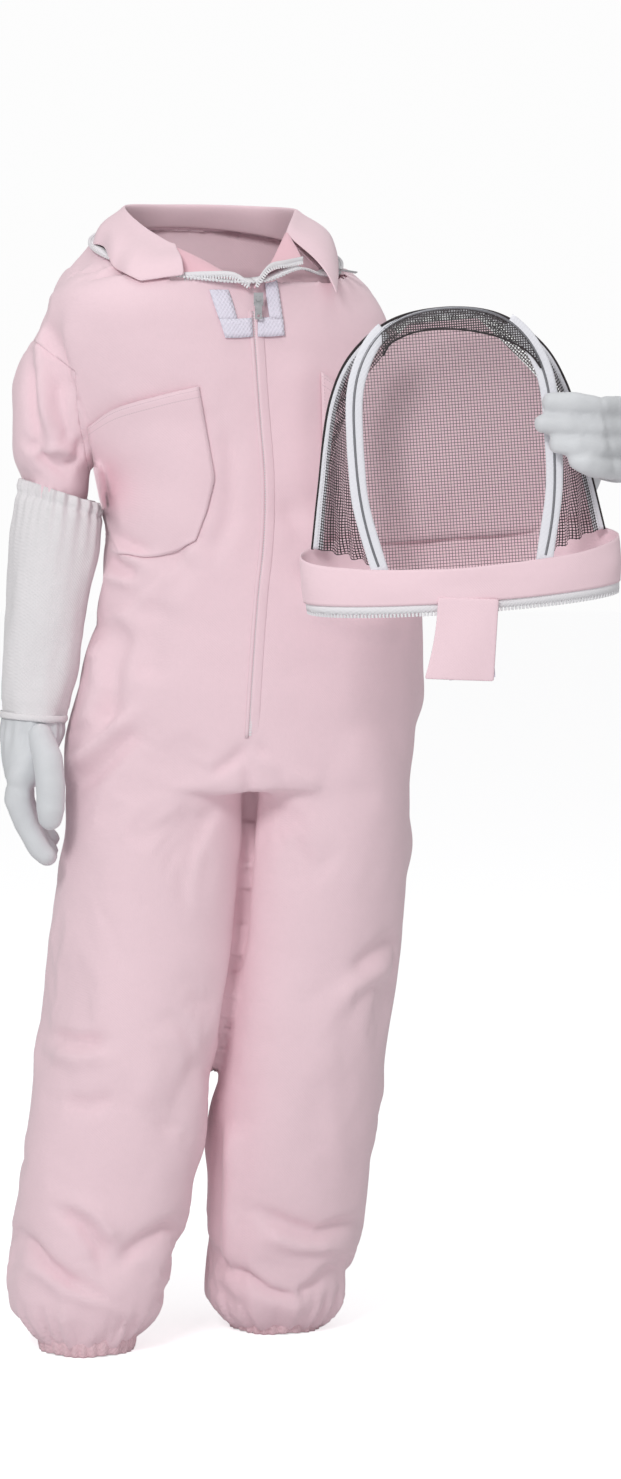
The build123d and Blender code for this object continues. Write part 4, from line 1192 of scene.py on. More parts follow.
# ------------------------------------------------------------- pockets and patches
# lines of (across, up) from the top edge to the bottom one
POCKET_RIGHT = [
    [(-267.0, 376.2), (-228.6, 400.2), (-180.6, 413.4), (-133.8, 424.2)],
    [(-262.2, 335.4), (-223.8, 349.8), (-171.0, 364.2), (-124.2, 369.0)],
    [(-252.6, 287.4), (-216.6, 289.8), (-161.4, 304.2), (-114.6, 313.8)],
    [(-240.6, 246.6), (-207.0, 246.6), (-156.6, 261.0), (-124.2, 273.0)],
    [(-231.0, 223.8), (-197.4, 217.8), (-163.8, 225.0), (-137.4, 238.2)],
]
POCKET_LEFT = [
    [(11.4, 441.0), (35.4, 421.8), (61.8, 407.4), (93.0, 397.8)],
    [(12.6, 395.4), (37.8, 381.0), (66.6, 371.4), (97.8, 366.6)],
    [(13.8, 335.4), (40.2, 328.2), (69.0, 323.4), (100.2, 321.0)],
    [(16.2, 287.4), (42.6, 280.2), (69.0, 277.8), (95.4, 277.8)],
    [(28.2, 258.6), (47.4, 251.4), (66.6, 249.0), (85.8, 251.4)],
]
PATCH_RIGHT_UPRIGHT = [
    [(-121.8, 539.4), (-99.0, 539.4)], [(-117.0, 523.8), (-94.2, 525.0)],
    [(-109.8, 503.4), (-88.2, 503.4)],
]
PATCH_RIGHT_FOOT = [
    [(-109.8, 504.6), (-89.4, 504.6), (-70.8, 505.8)],
    [(-102.6, 481.8), (-87.0, 481.8), (-69.6, 483.0)],
]
PATCH_LEFT_FOOT = [
    [(-64.2, 505.8), (-48.6, 505.8), (-34.2, 505.8)],
    [(-64.2, 483.0), (-48.6, 483.0), (-31.8, 484.2)],
]
PATCH_LEFT_UPRIGHT = [
    [(-55.8, 546.6), (-41.4, 550.2)], [(-53.4, 525.0), (-37.8, 527.4)],
    [(-49.8, 503.4), (-34.2, 503.4)],
]


def laid_sheet(name, lines, lift, mat, rows, cols, puff=0.0):
    """Patch lying on the cloth; puff swells it out towards the middle of its top."""
    lines = np.array([resample(line, cols) for line in lines])
    t = np.linspace(0, len(lines) - 1, rows)
    numbers = np.arange(len(lines))
    places = np.empty((rows, cols, 2))
    for j in range(cols):
        for k in range(2):
            places[:, j, k] = np.interp(t, numbers, lines[:, j, k])
    from_foot = 1 - np.linspace(0, 1, rows)[:, None]
    across = np.linspace(0, 1, cols)[None, :]
    swell = puff * np.sin(np.pi * across) ** 0.8 * (
        from_foot ** 0.35 * (1 - np.exp(-6 * from_foot)))
    p, _ = on_body(places[..., 0], places[..., 1], lift + swell)
    # even out bumps picked up from the cloth below
    for _ in range(3):
        around = p[:-2, 1:-1] + p[2:, 1:-1] + p[1:-1, :-2] + p[1:-1, 2:]
        p[1:-1, 1:-1] = 0.5 * p[1:-1, 1:-1] + 0.125 * around
    piece = grid_obj(name, p, mat)
    thicken(piece, 1.2)
    return piece


def pockets():
    right = laid_sheet("pocket_right", POCKET_RIGHT, 2.2, POCKET_CLOTH,
                       rows=30, cols=26, puff=5.0)
    register(right, "coverall", "coverall_cloth", "chest_pocket_right")
    left = laid_sheet("pocket_left", POCKET_LEFT, 2.2, POCKET_CLOTH,
                      rows=26, cols=20, puff=4.0)
    register(left, "coverall", "coverall_cloth", "chest_pocket_left")


def loop_patches():
    right = join([
        laid_sheet("lp1", PATCH_RIGHT_UPRIGHT, 2.2, LOOP, rows=10, cols=5),
        laid_sheet("lp2", PATCH_RIGHT_FOOT, 2.3, LOOP, rows=5, cols=8),
    ], "loop_patch_right_piece")
    left = join([
        laid_sheet("lp3", PATCH_LEFT_FOOT, 3.2, LOOP, rows=5, cols=8),
        laid_sheet("lp4", PATCH_LEFT_UPRIGHT, 3.2, LOOP, rows=10, cols=5),
    ], "loop_patch_left_piece")
    register(right, "coverall", "fastener_white", "loop_patch_right")
    register(left, "coverall", "fastener_white", "loop_patch_left")


# ------------------------------------------------------------- front opening
FRONT_EDGE = [(-67.8, 514.2), (-60.6, 407.4), (-53.4, 311.4), (-54.6, 239.4),
              (-61.8, 167.4), (-67.8, 83.4), (-72.6, 1.8)]
# offset across from the front edge, height above the cloth
PLACKET_PROFILE = [(0, 0.0), (0.24, 1.0), (1.44, 1.05), (3.0, 0.85), (4.8, 0.55),
                   (6.6, 0.2), (8.4, -0.2), (10.8, -1.2)]
PLACKET_SUNK = 1.2    # the strip sinks this far at its lower end


def front_opening():
    """Lapped edge that hides the zip, the strip under it and the teeth."""
    across, up = resample(FRONT_EDGE, 70).T
    fade = np.minimum(1, np.arange(70)[::-1] / 5.0)
    columns = [on_body(across + offset, up, (height + PLACKET_SUNK) * fade - PLACKET_SUNK)[0]
               for offset, height in PLACKET_PROFILE]
    placket = grid_obj("front_placket", np.stack(columns, 1), CLOTH)
    thicken(placket, 1.0, offset=-1.0)
    register(placket, "coverall", "coverall_cloth", "front_zip_tape_left")
    near, _ = on_body(across - 1.8, up, 0.7)
    far, _ = on_body(across - 6.6, up, 0.5)
    under = grid_obj("front_placket_under", np.stack([near, far], 1), CLOTH)
    apply_mod(under, "SOLIDIFY", thickness=0.0008, offset=0.0)
    register(under, "coverall", "coverall_cloth", "front_zip_tape_right")
    line, outward = on_body(across - 0.36, up, 0.3)
    teeth = zip_row("front_zip_teeth_rows", line, outward, pitch=3.0, size=(1.7, 3.6, 1.2))
    register(teeth, "coverall", "zip_teeth", "front_zip_teeth_right",
             "front_zip_teeth_left", "front_zip_bottom_stop")


# -------------------------------------------------------------------------- collar
# (point on the fold at the top, point on the free edge), from the wearer's right front
# round the back to the left front
COLLAR = [
    ((-38, -96, 1283), tuple(sight_point(-151.8, 555.0, -140))),
    ((-47, -90, 1287), (-76, -134, 1238)), ((-75, -55, 1306), (-106, -97, 1254)),
    ((-97, -5, 1327), (-122, -37, 1281)), ((-98, 40, 1338), (-136, 40, 1290)),
    ((-60, 88, 1342), (-82, 130, 1300)), ((0, 105, 1343), (0, 150, 1302)),
    ((60, 95, 1340), (86, 135, 1298)), ((96, 45, 1334), (140, 55, 1288)),
    ((98, 25, 1328), (150, 5, 1282)), ((93, -20, 1312), (152, -60, 1255)),
    ((89, -42, 1299), (149, -112, 1226)),
]


def collar():
    """Stand rising from the ring, rolled over at the top into the leaf."""
    count = 111
    t = np.linspace(0, len(COLLAR) - 1, count)
    top = by_index([fold_point for fold_point, _ in COLLAR], t)
    stations = np.array([edge_point for _, edge_point in COLLAR], float)
    first = t[:, None]
    # straight to the second station, then a curve, so the front corner stays sharp
    edge = np.where(first < 1, stations[0] * (1 - first) + stations[1] * first,
                    by_index(stations[1:], np.maximum(0, t - 1)))
    rest, _ = on_body(*on_sheet(edge), 5.0)
    in_front = (rest[:, 1] < edge[:, 1] + 4) & (np.abs(rest[:, 1] - edge[:, 1]) < 60)
    edge = np.where(in_front[:, None], rest, edge)
    corner = edge[:16].copy()
    for _ in range(4):
        edge[1:-1] = 0.5 * edge[1:-1] + 0.25 * (edge[:-2] + edge[2:])
    edge[:16] = corner

    turn = np.degrees(np.arctan2((top - NECK) @ RING_SIDE, (top - NECK) @ RING_FRONT))
    foot = ring_pt(turn, 130.0, 1.0)
    outward = (edge - top) * [1, 1, 0]
    outward /= np.linalg.norm(outward, axis=1)[:, None]
    rows = [foot]
    for k in (0.3, 0.6, 0.85):
        rows.append(foot * (1 - k) + (top - outward) * k - outward * math.sin(k * 3.1))
    for rise, out in ((1.5, -0.2), (2.4, 1.8), (1.2, 3.8)):
        rows.append(top + [0, 0, rise] + outward * out)
    for k in np.linspace(0.12, 1, 9):
        lift = 9.0 * math.sin(math.pi * min(1, k ** 1.25))
        rows.append(top * (1 - k) + edge * k + outward * (3.6 * (1 - k) + lift)
                    + [0, 0, lift * 0.5])
    grid = np.array(rows)
    leaf = grid[7:]
    wave = outward * line_noise(np.arange(count) / 11.0, 31)[:, None] * 1.6
    leaf += wave[None] * np.linspace(0, 1, len(leaf))[:, None, None]
    piece = grid_obj("collar_leaf_and_stand", grid, CLOTH)
    thicken(piece, 1.8, rounded=True)
    register(piece, "coverall", "coverall_cloth", "collar_leaf", "collar_stand")


# -------------------------------------------------------------------------- lapels
# rows of across, up on the sheet and depth y
LAPEL_RIGHT_TOP = [(-146.4, 584.16, -106), (-126.6, 574.2, -116), (-110.04, 564.6, -124),
                   (-89.4, 552.6, -133), (-71.16, 541.2, -141)]
LAPEL_RIGHT_TOP_START = (-47, -88, 1287)    # x, y, z
LAPEL_RIGHT_BOTTOM = [(-153.0, 553.8, -140), (-137.4, 554.4, -142), (-120.6, 554.4, -143),
                      (-103.8, 553.2, -143), (-87.0, 549.6, -143), (-71.4, 540.6, -142)]
LAPEL_LEFT_INNER = [(-30.0, 607.8, -42), (-34.2, 599.4, -58), (-40.2, 587.4, -78),
                    (-47.4, 573.0, -98), (-58.2, 557.4, -120), (-68.4, 541.44, -141)]
LAPEL_LEFT_OUTER = [(-27.0, 607.2, -46), (-11.4, 577.8, -92), (-17.4, 573.0, -108),
                    (-29.4, 570.6, -120), (-48.6, 565.8, -132), (-66.6, 540.0, -142)]
LAPEL_ZIP_RIGHT = [(-151.8, 554.4, -144), (-120.6, 555.6, -146), (-91.8, 554.4, -146),
                   (-72.6, 543.0, -145)]
LAPEL_ZIP_LEFT = [(-9.0, 575.4, -104), (-29.4, 571.2, -122), (-48.6, 566.4, -133),
                  (-65.4, 545.4, -144)]


def lapel(name, first_edge, second_edge):
    """Panel between two edges, bellied forwards."""
    a, b = resample(first_edge, 34), resample(second_edge, 34)
    belly = np.array([0, -1.0, 0.25]) * 3.0
    grid = [a * (1 - k) + b * k + belly * math.sin(math.pi * k) for k in np.linspace(0, 1, 12)]
    # the darker pink of this inner face is painted shade
    piece = grid_obj(name, grid, SHADED_INNER_CLOTH)
    thicken(piece, 1.6, rounded=True)
    register(piece, "coverall", "coverall_cloth")


def lapel_zip(side, line, tape_shift, teeth_shift, tooth_width):
    """Open end of the collar zip lying on a lapel."""
    count = 40
    line = resample(sight_points(line), count)
    across = np.tile((0.0, -0.25, 1.0), (count, 1))
    across /= np.linalg.norm(across, axis=1)[:, None]
    tape = ribbon("lapel_zip_tape_" + side, line + tape_shift, across,
                  width=7.0, thickness=0.9)
    register(tape, "coverall", "zip_tape")
    teeth = zip_row("lapel_zip_teeth_" + side, line + teeth_shift,
                    np.tile([0.0, -1.0, 0.1], (count, 1)),
                    pitch=3.2, size=(1.8, tooth_width, 1.6))
    register(teeth, "coverall", "zip_teeth")


# ------------------------------------------------------------------- ankle elastic
def hem(name, centre_x, centre_y, replaced):
    """Gathered band round an ankle, its lower edge 3 mm below the floor level."""
    turn = angles(260)
    pleats = np.sin(turn * 27 + 1.7 * np.sin(turn * 4 + centre_x))
    grid = []
    for t, z in zip(np.arange(14) / 13.0, np.linspace(-3.0, 27.0, 14)):
        depth = (1.6 + 1.2 * t) * pleats * (0.45 + 0.55 * abs(math.cos(math.pi * t)))
        r = 53.5 + 2.5 * math.sin(math.pi * t) + depth
        grid.append(np.stack([centre_x + r * np.cos(turn), centre_y + r * np.sin(turn),
                              z + 0.9 * np.sin(turn * 5 + centre_x)], -1))
    piece = grid_obj(name, grid, ELASTIC, wrap=True)
    thicken(piece, 1.8)
    register(piece, "coverall", "elastic", replaced)


neck_zip()
pockets()
loop_patches()
front_opening()
collar()
lapel("lapel_right", [LAPEL_RIGHT_TOP_START, *sight_points(LAPEL_RIGHT_TOP)],
      sight_points(LAPEL_RIGHT_BOTTOM))
lapel("lapel_left", sight_points(LAPEL_LEFT_INNER), sight_points(LAPEL_LEFT_OUTER))
lapel_zip("right", LAPEL_ZIP_RIGHT, tape_shift=[0, -1, 2.5],
          teeth_shift=[0, -2.0, -1.5], tooth_width=4.2)
lapel_zip("left", LAPEL_ZIP_LEFT, tape_shift=[0, -2, 0.5],
          teeth_shift=[0, -3.2, -3.0], tooth_width=4.0)
hem("ankle_gather_right", -144, -99, "right_ankle_elastic")
hem("ankle_gather_left", 77, 24, "left_ankle_elastic")


# ------------------------------------------------------------------------ gauntlets
# right gauntlet: x, z, radius sideways, radius in depth, from the frill to the wrist
RIGHT_GLOVE_Y = -45.5
GAUNTLET_RIGHT = np.array([
    (-173.5, 1001, 48, 46), (-175, 989, 51.5, 48), (-181, 943, 53, 50),
    (-188, 896, 50, 48), (-194.5, 848, 47.5, 46), (-199.5, 801, 44.5, 43),
    (-206.5, 753, 39.5, 39), (-207.5, 733, 37.5, 37),
])
# left gauntlet: share of the way from elbow end to wrist, radius
LEFT_ELBOW, LEFT_WRIST = np.array([330.0, -20, 928]), np.array([400.0, -235, 1003])
LEFT_ARM = LEFT_WRIST - LEFT_ELBOW
GAUNTLET_LEFT = [(0.12, 50.0), (0.3, 51.0), (0.6, 47.0), (0.8, 43.0), (0.99, 38.5)]
RIGHT_ACROSS, LEFT_ACROSS = np.array([1.0, 0, 0]), np.array([0.9, 0.2, 0])
FRILL_PINCH = 15.0    # from the open end to the elastic
WRIST_CREASE = 14.0   # from the wrist end


def cross_axes(direction, across):
    """Unit direction and the two unit vectors square to it."""
    direction = direction / np.linalg.norm(direction)
    side = across - direction * (across @ direction)
    side /= np.linalg.norm(side)
    return direction, side, np.cross(direction, side)


def gauntlet(name, glove, centres, direction, side_radii, depth_radii, across, tilt,
             replaced):
    """Canvas tube with its frilled elastic end first; tilt slants the open end."""
    total = lengths_along(centres)
    length = total[-1]
    stations = np.r_[np.linspace(0, 30, 22), np.linspace(33, length, 62)]
    direction, side, depth = cross_axes(direction, across)
    turn = angles(150)
    pleats = np.sin(turn * 24 + 2.0 * np.sin(turn * 3))
    grid = []
    for s in stations:
        frill = math.exp(-(s / 16.0) ** 2)
        pinch = math.exp(-((s - FRILL_PINCH) / 5.0) ** 2)
        fade = math.exp(-max(0, s - FRILL_PINCH) / 34.0)
        from_crease = length - s - WRIST_CREASE
        relief = pleats * (2.2 * frill + 1.4 * fade) - 2.6 * pinch
        relief = relief - 1.6 * bell(from_crease, 0, 2.2) - 1.2 * bell(from_crease, -7, 2.0)
        relief = relief + tube_noise(turn, 2.2, s / 70.0, 41) * 3.4
        relief = relief + tube_noise(turn, 4, s / 18.0, 43) * 0.7
        centre = np.array([np.interp(s, total, centres[:, k]) for k in range(3)])
        side_radius = np.interp(s, total, side_radii)
        depth_radius = np.interp(s, total, depth_radii)
        p = centre + np.outer(np.cos(turn) * (side_radius + relief), side)
        p = p + np.outer(np.sin(turn) * (depth_radius + relief), depth)
        grid.append(p - direction * (np.cos(turn) * tilt)[:, None] * max(0, 1 - s / 120.0))
    piece = grid_obj(name, grid, CANVAS, wrap=True)
    thicken(piece, 1.6, offset=-1.0)
    register(piece, glove, "gauntlet_canvas", *replaced)


def wrist_band(name, start, end, side_radius, depth_radius, across, glove, replaced):
    start = start * 0.55 + end * 0.45
    _, side, depth = cross_axes(end - start, across)
    turn = angles(120)
    grid = []
    for t in np.linspace(0, 1, 9):
        bulge = 1.4 * math.sin(math.pi * t) ** 0.5 if 0 < t < 1 else 0
        grid.append(start * (1 - t) + end * t
                    + np.outer(np.cos(turn) * (side_radius + bulge), side)
                    + np.outer(np.sin(turn) * (depth_radius + bulge), depth))
    piece = grid_obj(name, grid, CANVAS, wrap=True)
    thicken(piece, 1.2, offset=-1.0)
    register(piece, glove, "glove_leather", replaced)


glove_x, glove_z, glove_side_radii, glove_depth_radii = GAUNTLET_RIGHT.T
centres_right = np.stack([glove_x, np.full(len(glove_x), RIGHT_GLOVE_Y), glove_z], -1)
gauntlet("gauntlet_right", "right_glove", centres_right, centres_right[-1] - centres_right[0],
         glove_side_radii, glove_depth_radii, RIGHT_ACROSS, tilt=-9.0,
         replaced=("right_glove_gauntlet", "right_gauntlet_elastic"))
centres_left = np.array([LEFT_ELBOW + LEFT_ARM * share for share, _ in GAUNTLET_LEFT])
radii_left = [radius for _, radius in GAUNTLET_LEFT]
gauntlet("gauntlet_left", "left_glove", centres_left, LEFT_ARM, radii_left, radii_left,
         LEFT_ACROSS, tilt=0.0, replaced=("left_glove_gauntlet", "left_gauntlet_elastic"))
wrist_band("wrist_binding_right", np.array([-207.0, RIGHT_GLOVE_Y, 747]),
           np.array([-208.0, RIGHT_GLOVE_Y, 733]), 39.3, 38.8, RIGHT_ACROSS,
           "right_glove", "right_glove_wrist_band")
wrist_band("wrist_binding_left", LEFT_ELBOW + LEFT_ARM * 0.93, LEFT_ELBOW + LEFT_ARM * 0.985,
           40.0, 40.0, LEFT_ACROSS, "left_glove", "left_glove_wrist_band")

# ---------------------------------------------------------------------------- hands
# chains of flattened balls: centre x, y, z and radii along x, y, z
PALM_RIGHT = [(-207.5, -45.5, 738, 37.5, 36.5, 6), (-209, -46.5, 718, 38.5, 37, 14),
              (-213, -50, 694, 33, 40, 16), (-216, -54, 668, 26, 43, 16)]
THUMB_RIGHT = [(-197, -82, 716, 15, 15, 15), (-187, -100, 690, 17.5, 16, 17),
               (-184, -108, 660, 18, 16.5, 17), (-183.5, -110, 632, 16.5, 15.5, 17),
               (-184, -109, 622, 14.5, 14, 15)]
PALM_LEFT = [(401, -238, 1004, 37, 32, 37), (408, -250, 1018, 36, 30, 36),
             (420, -259, 1044, 32, 26, 34), (432, -266, 1068, 27, 24, 30),
             (437, -272, 1082, 22, 22, 22)]
THUMB_LEFT = [(404, -252, 1030, 15, 15, 15), (396, -264, 1050, 15, 14, 15),
              (382, -272, 1072, 14, 13, 14), (372, -274, 1088, 12.5, 12, 12.5)]
FINGERS_RIGHT = ((-86, 576), (-64, 573), (-42, 578), (-22, 590))    # y, tip height
# knuckle height, tip height, tip x, tip radius
FINGERS_LEFT = ((1088, 1096, 372, 13.0), (1067, 1073, 364, 12.8), (1046, 1051, 379, 12.8),
                (1022, 1034, 400, 13.0))
BALL_STEP = 4.0
HAND_VOXEL = (5.0 if QUICK else 3.0) / 1000.0    # metres


def right_finger(y, tip):
    return [(-221, y + 2, 668, 16.5, 13.5, 14), (-224, y, 640, 15.5, 13, 13),
            (-214, y - 1, 612, 14.5, 12.5, 12), (-198, y - 2, tip + 6, 13.5, 12, 12),
            (-191, y - 2, tip, 12.5, 11.5, 11.5)]


def left_finger(knuckle, tip, tip_x, radius):
    rise = tip - knuckle
    return [(436, -276, knuckle * 0.8 + 1060 * 0.2, 15, 15, 13.5),
            (456, -322, knuckle, 14.5, 14.5, 13.5), (459, -352, knuckle + 1, 14.5, 14, 13),
            (451, -388, knuckle + 3, 14, 13.5, 13),
            (428, -414, knuckle + rise * 0.4, 13.5, 12.8, 12.6),
            ((tip_x + 428) / 2, -423, knuckle + rise * 0.8, radius + 0.5, radius, radius),
            (tip_x + 6, -422, tip, radius - 1.5, radius - 1.5, radius - 1.5)]


def creases_right(v):
    """Pleats below the wrist seam and one crease across the fingers."""
    x, y, z = v.T
    turn = np.arctan2(y + 48, x + 208)
    pleats = bell(z, 716, 16.0) * np.sin(turn * 15 + 1.5 * np.sin(turn * 2)) * 1.5
    return pleats - 1.4 * bell(z + 0.25 * x, 600, 4.0)


def creases_left(v):
    """Grooves between the fingers and one crease across them."""
    x, y, z = v.T
    relief = 0 * x
    for height in (1083.5, 1061, 1038):
        relief = relief - 0.9 * bell(z, height, 3.0) * smooth_step(-300, -340, y)
    across = bell(x + 0.2 * (z - 1060), 440, 3.5)
    return relief - 1.2 * across * smooth_step(-330, -370, y)


def ball_chain(rows):
    """Balls strung closely between the stations of a chain."""
    rows = np.array(rows, float)
    balls = []
    for a, b in zip(rows[:-1], rows[1:]):
        count = max(2, int(np.linalg.norm(b[:3] - a[:3]) / BALL_STEP))
        balls += [a * (1 - t) + b * t for t in np.linspace(0, 1, count, endpoint=False)]
    return balls + [rows[-1]]


def glove_part(name, glove, replaced, chains, smoothing, creases=None):
    """Leather skin over chains of balls."""
    bm = bmesh.new()
    bmesh.ops.create_icosphere(bm, subdivisions=3, radius=1.0)
    sphere = np.array([v.co for v in bm.verts])
    sphere_faces = [tuple(v.index for v in f.verts) for f in bm.faces]
    bm.free()
    verts, faces = [], []
    for number, ball in enumerate(ball for chain in chains for ball in ball_chain(chain)):
        verts.append(sphere * ball[3:6] + ball[:3])
        first = number * len(sphere)
        faces += [tuple(i + first for i in f) for f in sphere_faces]
    piece = new_obj(name, np.vstack(verts), faces, LEATHER)
    apply_mod(piece, "REMESH", mode="VOXEL", voxel_size=HAND_VOXEL, use_smooth_shade=True)
    apply_mod(piece, "SMOOTH", factor=0.5, iterations=smoothing)

    def relief(points):
        uneven = value_noise(points / 19.0, 51) * 0.9 + value_noise(points / 8.0, 53) * 0.25
        return uneven + creases(points) if creases else uneven

    push_out(piece, relief)
    smooth_shade(piece)
    register(piece, glove, "glove_leather", replaced)


glove_part("glove_hand_right", "right_glove", "right_glove_hand",
           [PALM_RIGHT] + [right_finger(*f) for f in FINGERS_RIGHT],
           smoothing=6, creases=creases_right)
glove_part("glove_thumb_right", "right_glove", "right_glove_thumb", [THUMB_RIGHT],
           smoothing=5)
glove_part("glove_hand_left", "left_glove", "left_glove_hand",
           [PALM_LEFT] + [left_finger(*f) for f in FINGERS_LEFT],
           smoothing=4, creases=creases_left)
glove_part("glove_thumb_left", "left_glove", "left_glove_thumb", [THUMB_LEFT], smoothing=4)

# ----------------------------------------------------------------------------- hood
# The hood has its own axes: x and z rolled a little, y as in the frame.
HOOD_ROLL = math.radians(4.0)
HOOD_X = np.array([math.cos(HOOD_ROLL), 0, math.sin(HOOD_ROLL)])
HOOD_Y = np.array([0.0, 1, 0])
HOOD_Z = np.array([-math.sin(HOOD_ROLL), 0, math.cos(HOOD_ROLL)])
HOOD_ORIGIN = np.array([283.0, -350, 917])
RIM_HALF_WIDTH, RIM_HALF_DEPTH = 172.0, 64.0
BAND_TOP_SLOPE, RIM_SLOPE = 0.36, 0.17    # rise towards the back, per mm of y
FRONT_STRAP_Y, REAR_STRAP_Y = -51.0, 16.0
# arches from the wearer's right to the left: hood x, hood z
FRONT_ARCH = [(-90, 6), (-105, 80), (-107, 150), (-99, 215), (-68, 262), (0, 281),
              (68, 262), (99, 215), (107, 150), (105, 80), (90, 6)]
REAR_ARCH = [(-156, 31), (-145, 95), (-126, 190), (-102, 236), (-58, 270), (0, 280),
             (58, 270), (102, 236), (126, 190), (145, 95), (156, 31)]
# outline of the back cloth: hood x, distance up the cloth
BACK_OUTLINE = [(-152, -8), (-149, 12), (-139, 60), (-124, 112), (-98, 168), (-70, 199),
                (-42, 230), (-20, 233), (0, 234), (20, 233), (42, 230), (70, 199),
                (98, 168), (124, 112), (139, 60), (149, 12), (152, -8)]
# distance up the back cloth, half width there
BACK_ROWS = [(-8, 152), (12, 149), (36, 145), (60, 139), (86, 132), (112, 124), (140, 112),
             (168, 98), (185, 82), (199, 70), (216, 55), (230, 42), (234, 38)]
# seam above the window: across, up on the sheet
BROW_SEAM = [(87.0, 460.2), (95.4, 474.6), (107.4, 481.8), (121.8, 487.8), (141.0, 491.4),
             (166.2, 492.6), (186.6, 491.4), (207.0, 487.8), (222.6, 484.2),
             (238.2, 478.2), (250.2, 472.2), (259.8, 466.2), (269.4, 456.6),
             (276.6, 445.8)]
BROW_SEAM_Y = -405.0
FLAP_Y = -417.0
ARCH_COUNT = 160


def hood_point(x, y, z):
    x, y, z = np.broadcast_arrays(
        np.asarray(x, float), np.asarray(y, float), np.asarray(z, float))
    return (HOOD_ORIGIN + x[..., None] * HOOD_X + y[..., None] * HOOD_Y
            + z[..., None] * HOOD_Z)


def hood_points(local):
    local = np.asarray(local)
    return hood_point(local[..., 0], local[..., 1], local[..., 2])


def to_hood(points):
    local = np.asarray(points, float) - HOOD_ORIGIN
    return local @ HOOD_X, local @ HOOD_Y, local @ HOOD_Z


rim_turn = angles(240)


def rim(height, out, slope=RIM_SLOPE):
    """Oval round the foot of the hood, sloping up to the back."""
    x = (RIM_HALF_WIDTH + out) * np.cos(rim_turn)
    y = (RIM_HALF_DEPTH + out) * np.sin(rim_turn)
    return hood_point(x, y, height + (y + RIM_HALF_DEPTH) * slope)


def hood_rim():
    """Cloth band, zip tape and zip teeth round the foot of the hood."""
    grid = []
    for t in np.linspace(0, 1, 14):
        out = 0.6 + 1.8 * math.sin(math.pi * t) + tube_noise(rim_turn, 3, t * 2, 61) * 1.8
        grid.append(rim(1.5 - 37.5 * t, out, BAND_TOP_SLOPE * (1 - t) + RIM_SLOPE * t))
    band = grid_obj("hood_band_cloth", grid, HOOD_CLOTH, wrap=True)
    thicken(band, 1.8, offset=-1.0)
    register(band, "hood", "coverall_cloth", "hood_band")
    grid = [rim(-33, -2.6), rim(-36.5, -1.2), rim(-38, -0.8), rim(-44.8, -1.2)]
    tape = grid_obj("hood_zip_tape_cloth", grid, TAPE, wrap=True)
    thicken(tape, 1.1, offset=-1.0)
    register(tape, "hood", "zip_tape", "hood_zip_tape")
    line = rim(-46.4, -1.8)
    outward = rim(0, 1) - rim(0, 0)
    teeth = zip_row("hood_zip_teeth_row", np.vstack([line, line[:1]]),
                    np.vstack([outward, outward[:1]]), pitch=4.0, size=(2.3, 4.6, 2.4))
    register(teeth, "hood", "zip_teeth", "hood_zip_teeth")


front_arch, rear_arch = resample(FRONT_ARCH, ARCH_COUNT), resample(REAR_ARCH, ARCH_COUNT)
arch_share = np.linspace(0, 1, ARCH_COUNT)


def strap(name, path, y, width, thickness, mat, *replaced):
    """Rounded flat strap following a path of (hood x, hood z)."""
    along = tangents(path)
    width = np.broadcast_to(np.asarray(width, float), (len(path),))
    turn = angles(20)
    c, s = np.cos(turn), np.sin(turn)
    flat_c, flat_s = np.sign(c) * np.abs(c) ** 0.5, np.sign(s) * np.abs(s) ** 0.7
    wander = line_noise(np.arange(len(path)) / 11.0, 71) * 0.8
    grid = []
    for i, (x, z) in enumerate(path):
        off = flat_c * width[i] / 2 + wander[i]
        grid.append(hood_point(x - along[i, 1] * off, y + flat_s * thickness / 2,
                               z + along[i, 0] * off))
    piece = grid_obj(name, grid, mat, wrap=True, closed=True)
    register(piece, "hood", "white_binding", *replaced)


def hood_straps():
    right_part = resample(np.vstack([[(-84.5, -14)], front_arch[:64]]), 70)
    left_part = resample(np.vstack([front_arch[96:], [(84.5, -14)]]), 70)
    strap("hood_front_strap_right", right_part, FRONT_STRAP_Y, 18.5, 5.6, STRAP,
          "hood_front_binding")
    strap("hood_front_strap_left", left_part, FRONT_STRAP_Y, 18.5, 5.6, STRAP)
    strap("hood_front_strap_top", front_arch[62:98], FRONT_STRAP_Y, 3.4, 3.0, CORD)
    crown = np.sin(np.pi * arch_share)
    strap("hood_rear_strap", rear_arch, REAR_STRAP_Y, 13.5 - 6.5 * crown ** 0.7, 5.0, STRAP,
          "hood_rear_binding")
    x = rear_arch[:, 0] + rear_arch[:, 0] / 156.0 * 5
    z = rear_arch[:, 1] + 4.6 * crown ** 2
    cord = cord_along("hood_rear_cord", hood_point(x, REAR_STRAP_Y - 1.0, z), 1.5)
    register(cord, "hood", "white_binding")


def net_sheet(name, local, mat, uv):
    """Netting from a grid in hood axes; it casts no shadow."""
    piece = grid_obj(name, hood_points(local), mat, uv=False)
    set_uv(piece, uv)
    piece.visible_shadow = False
    return piece


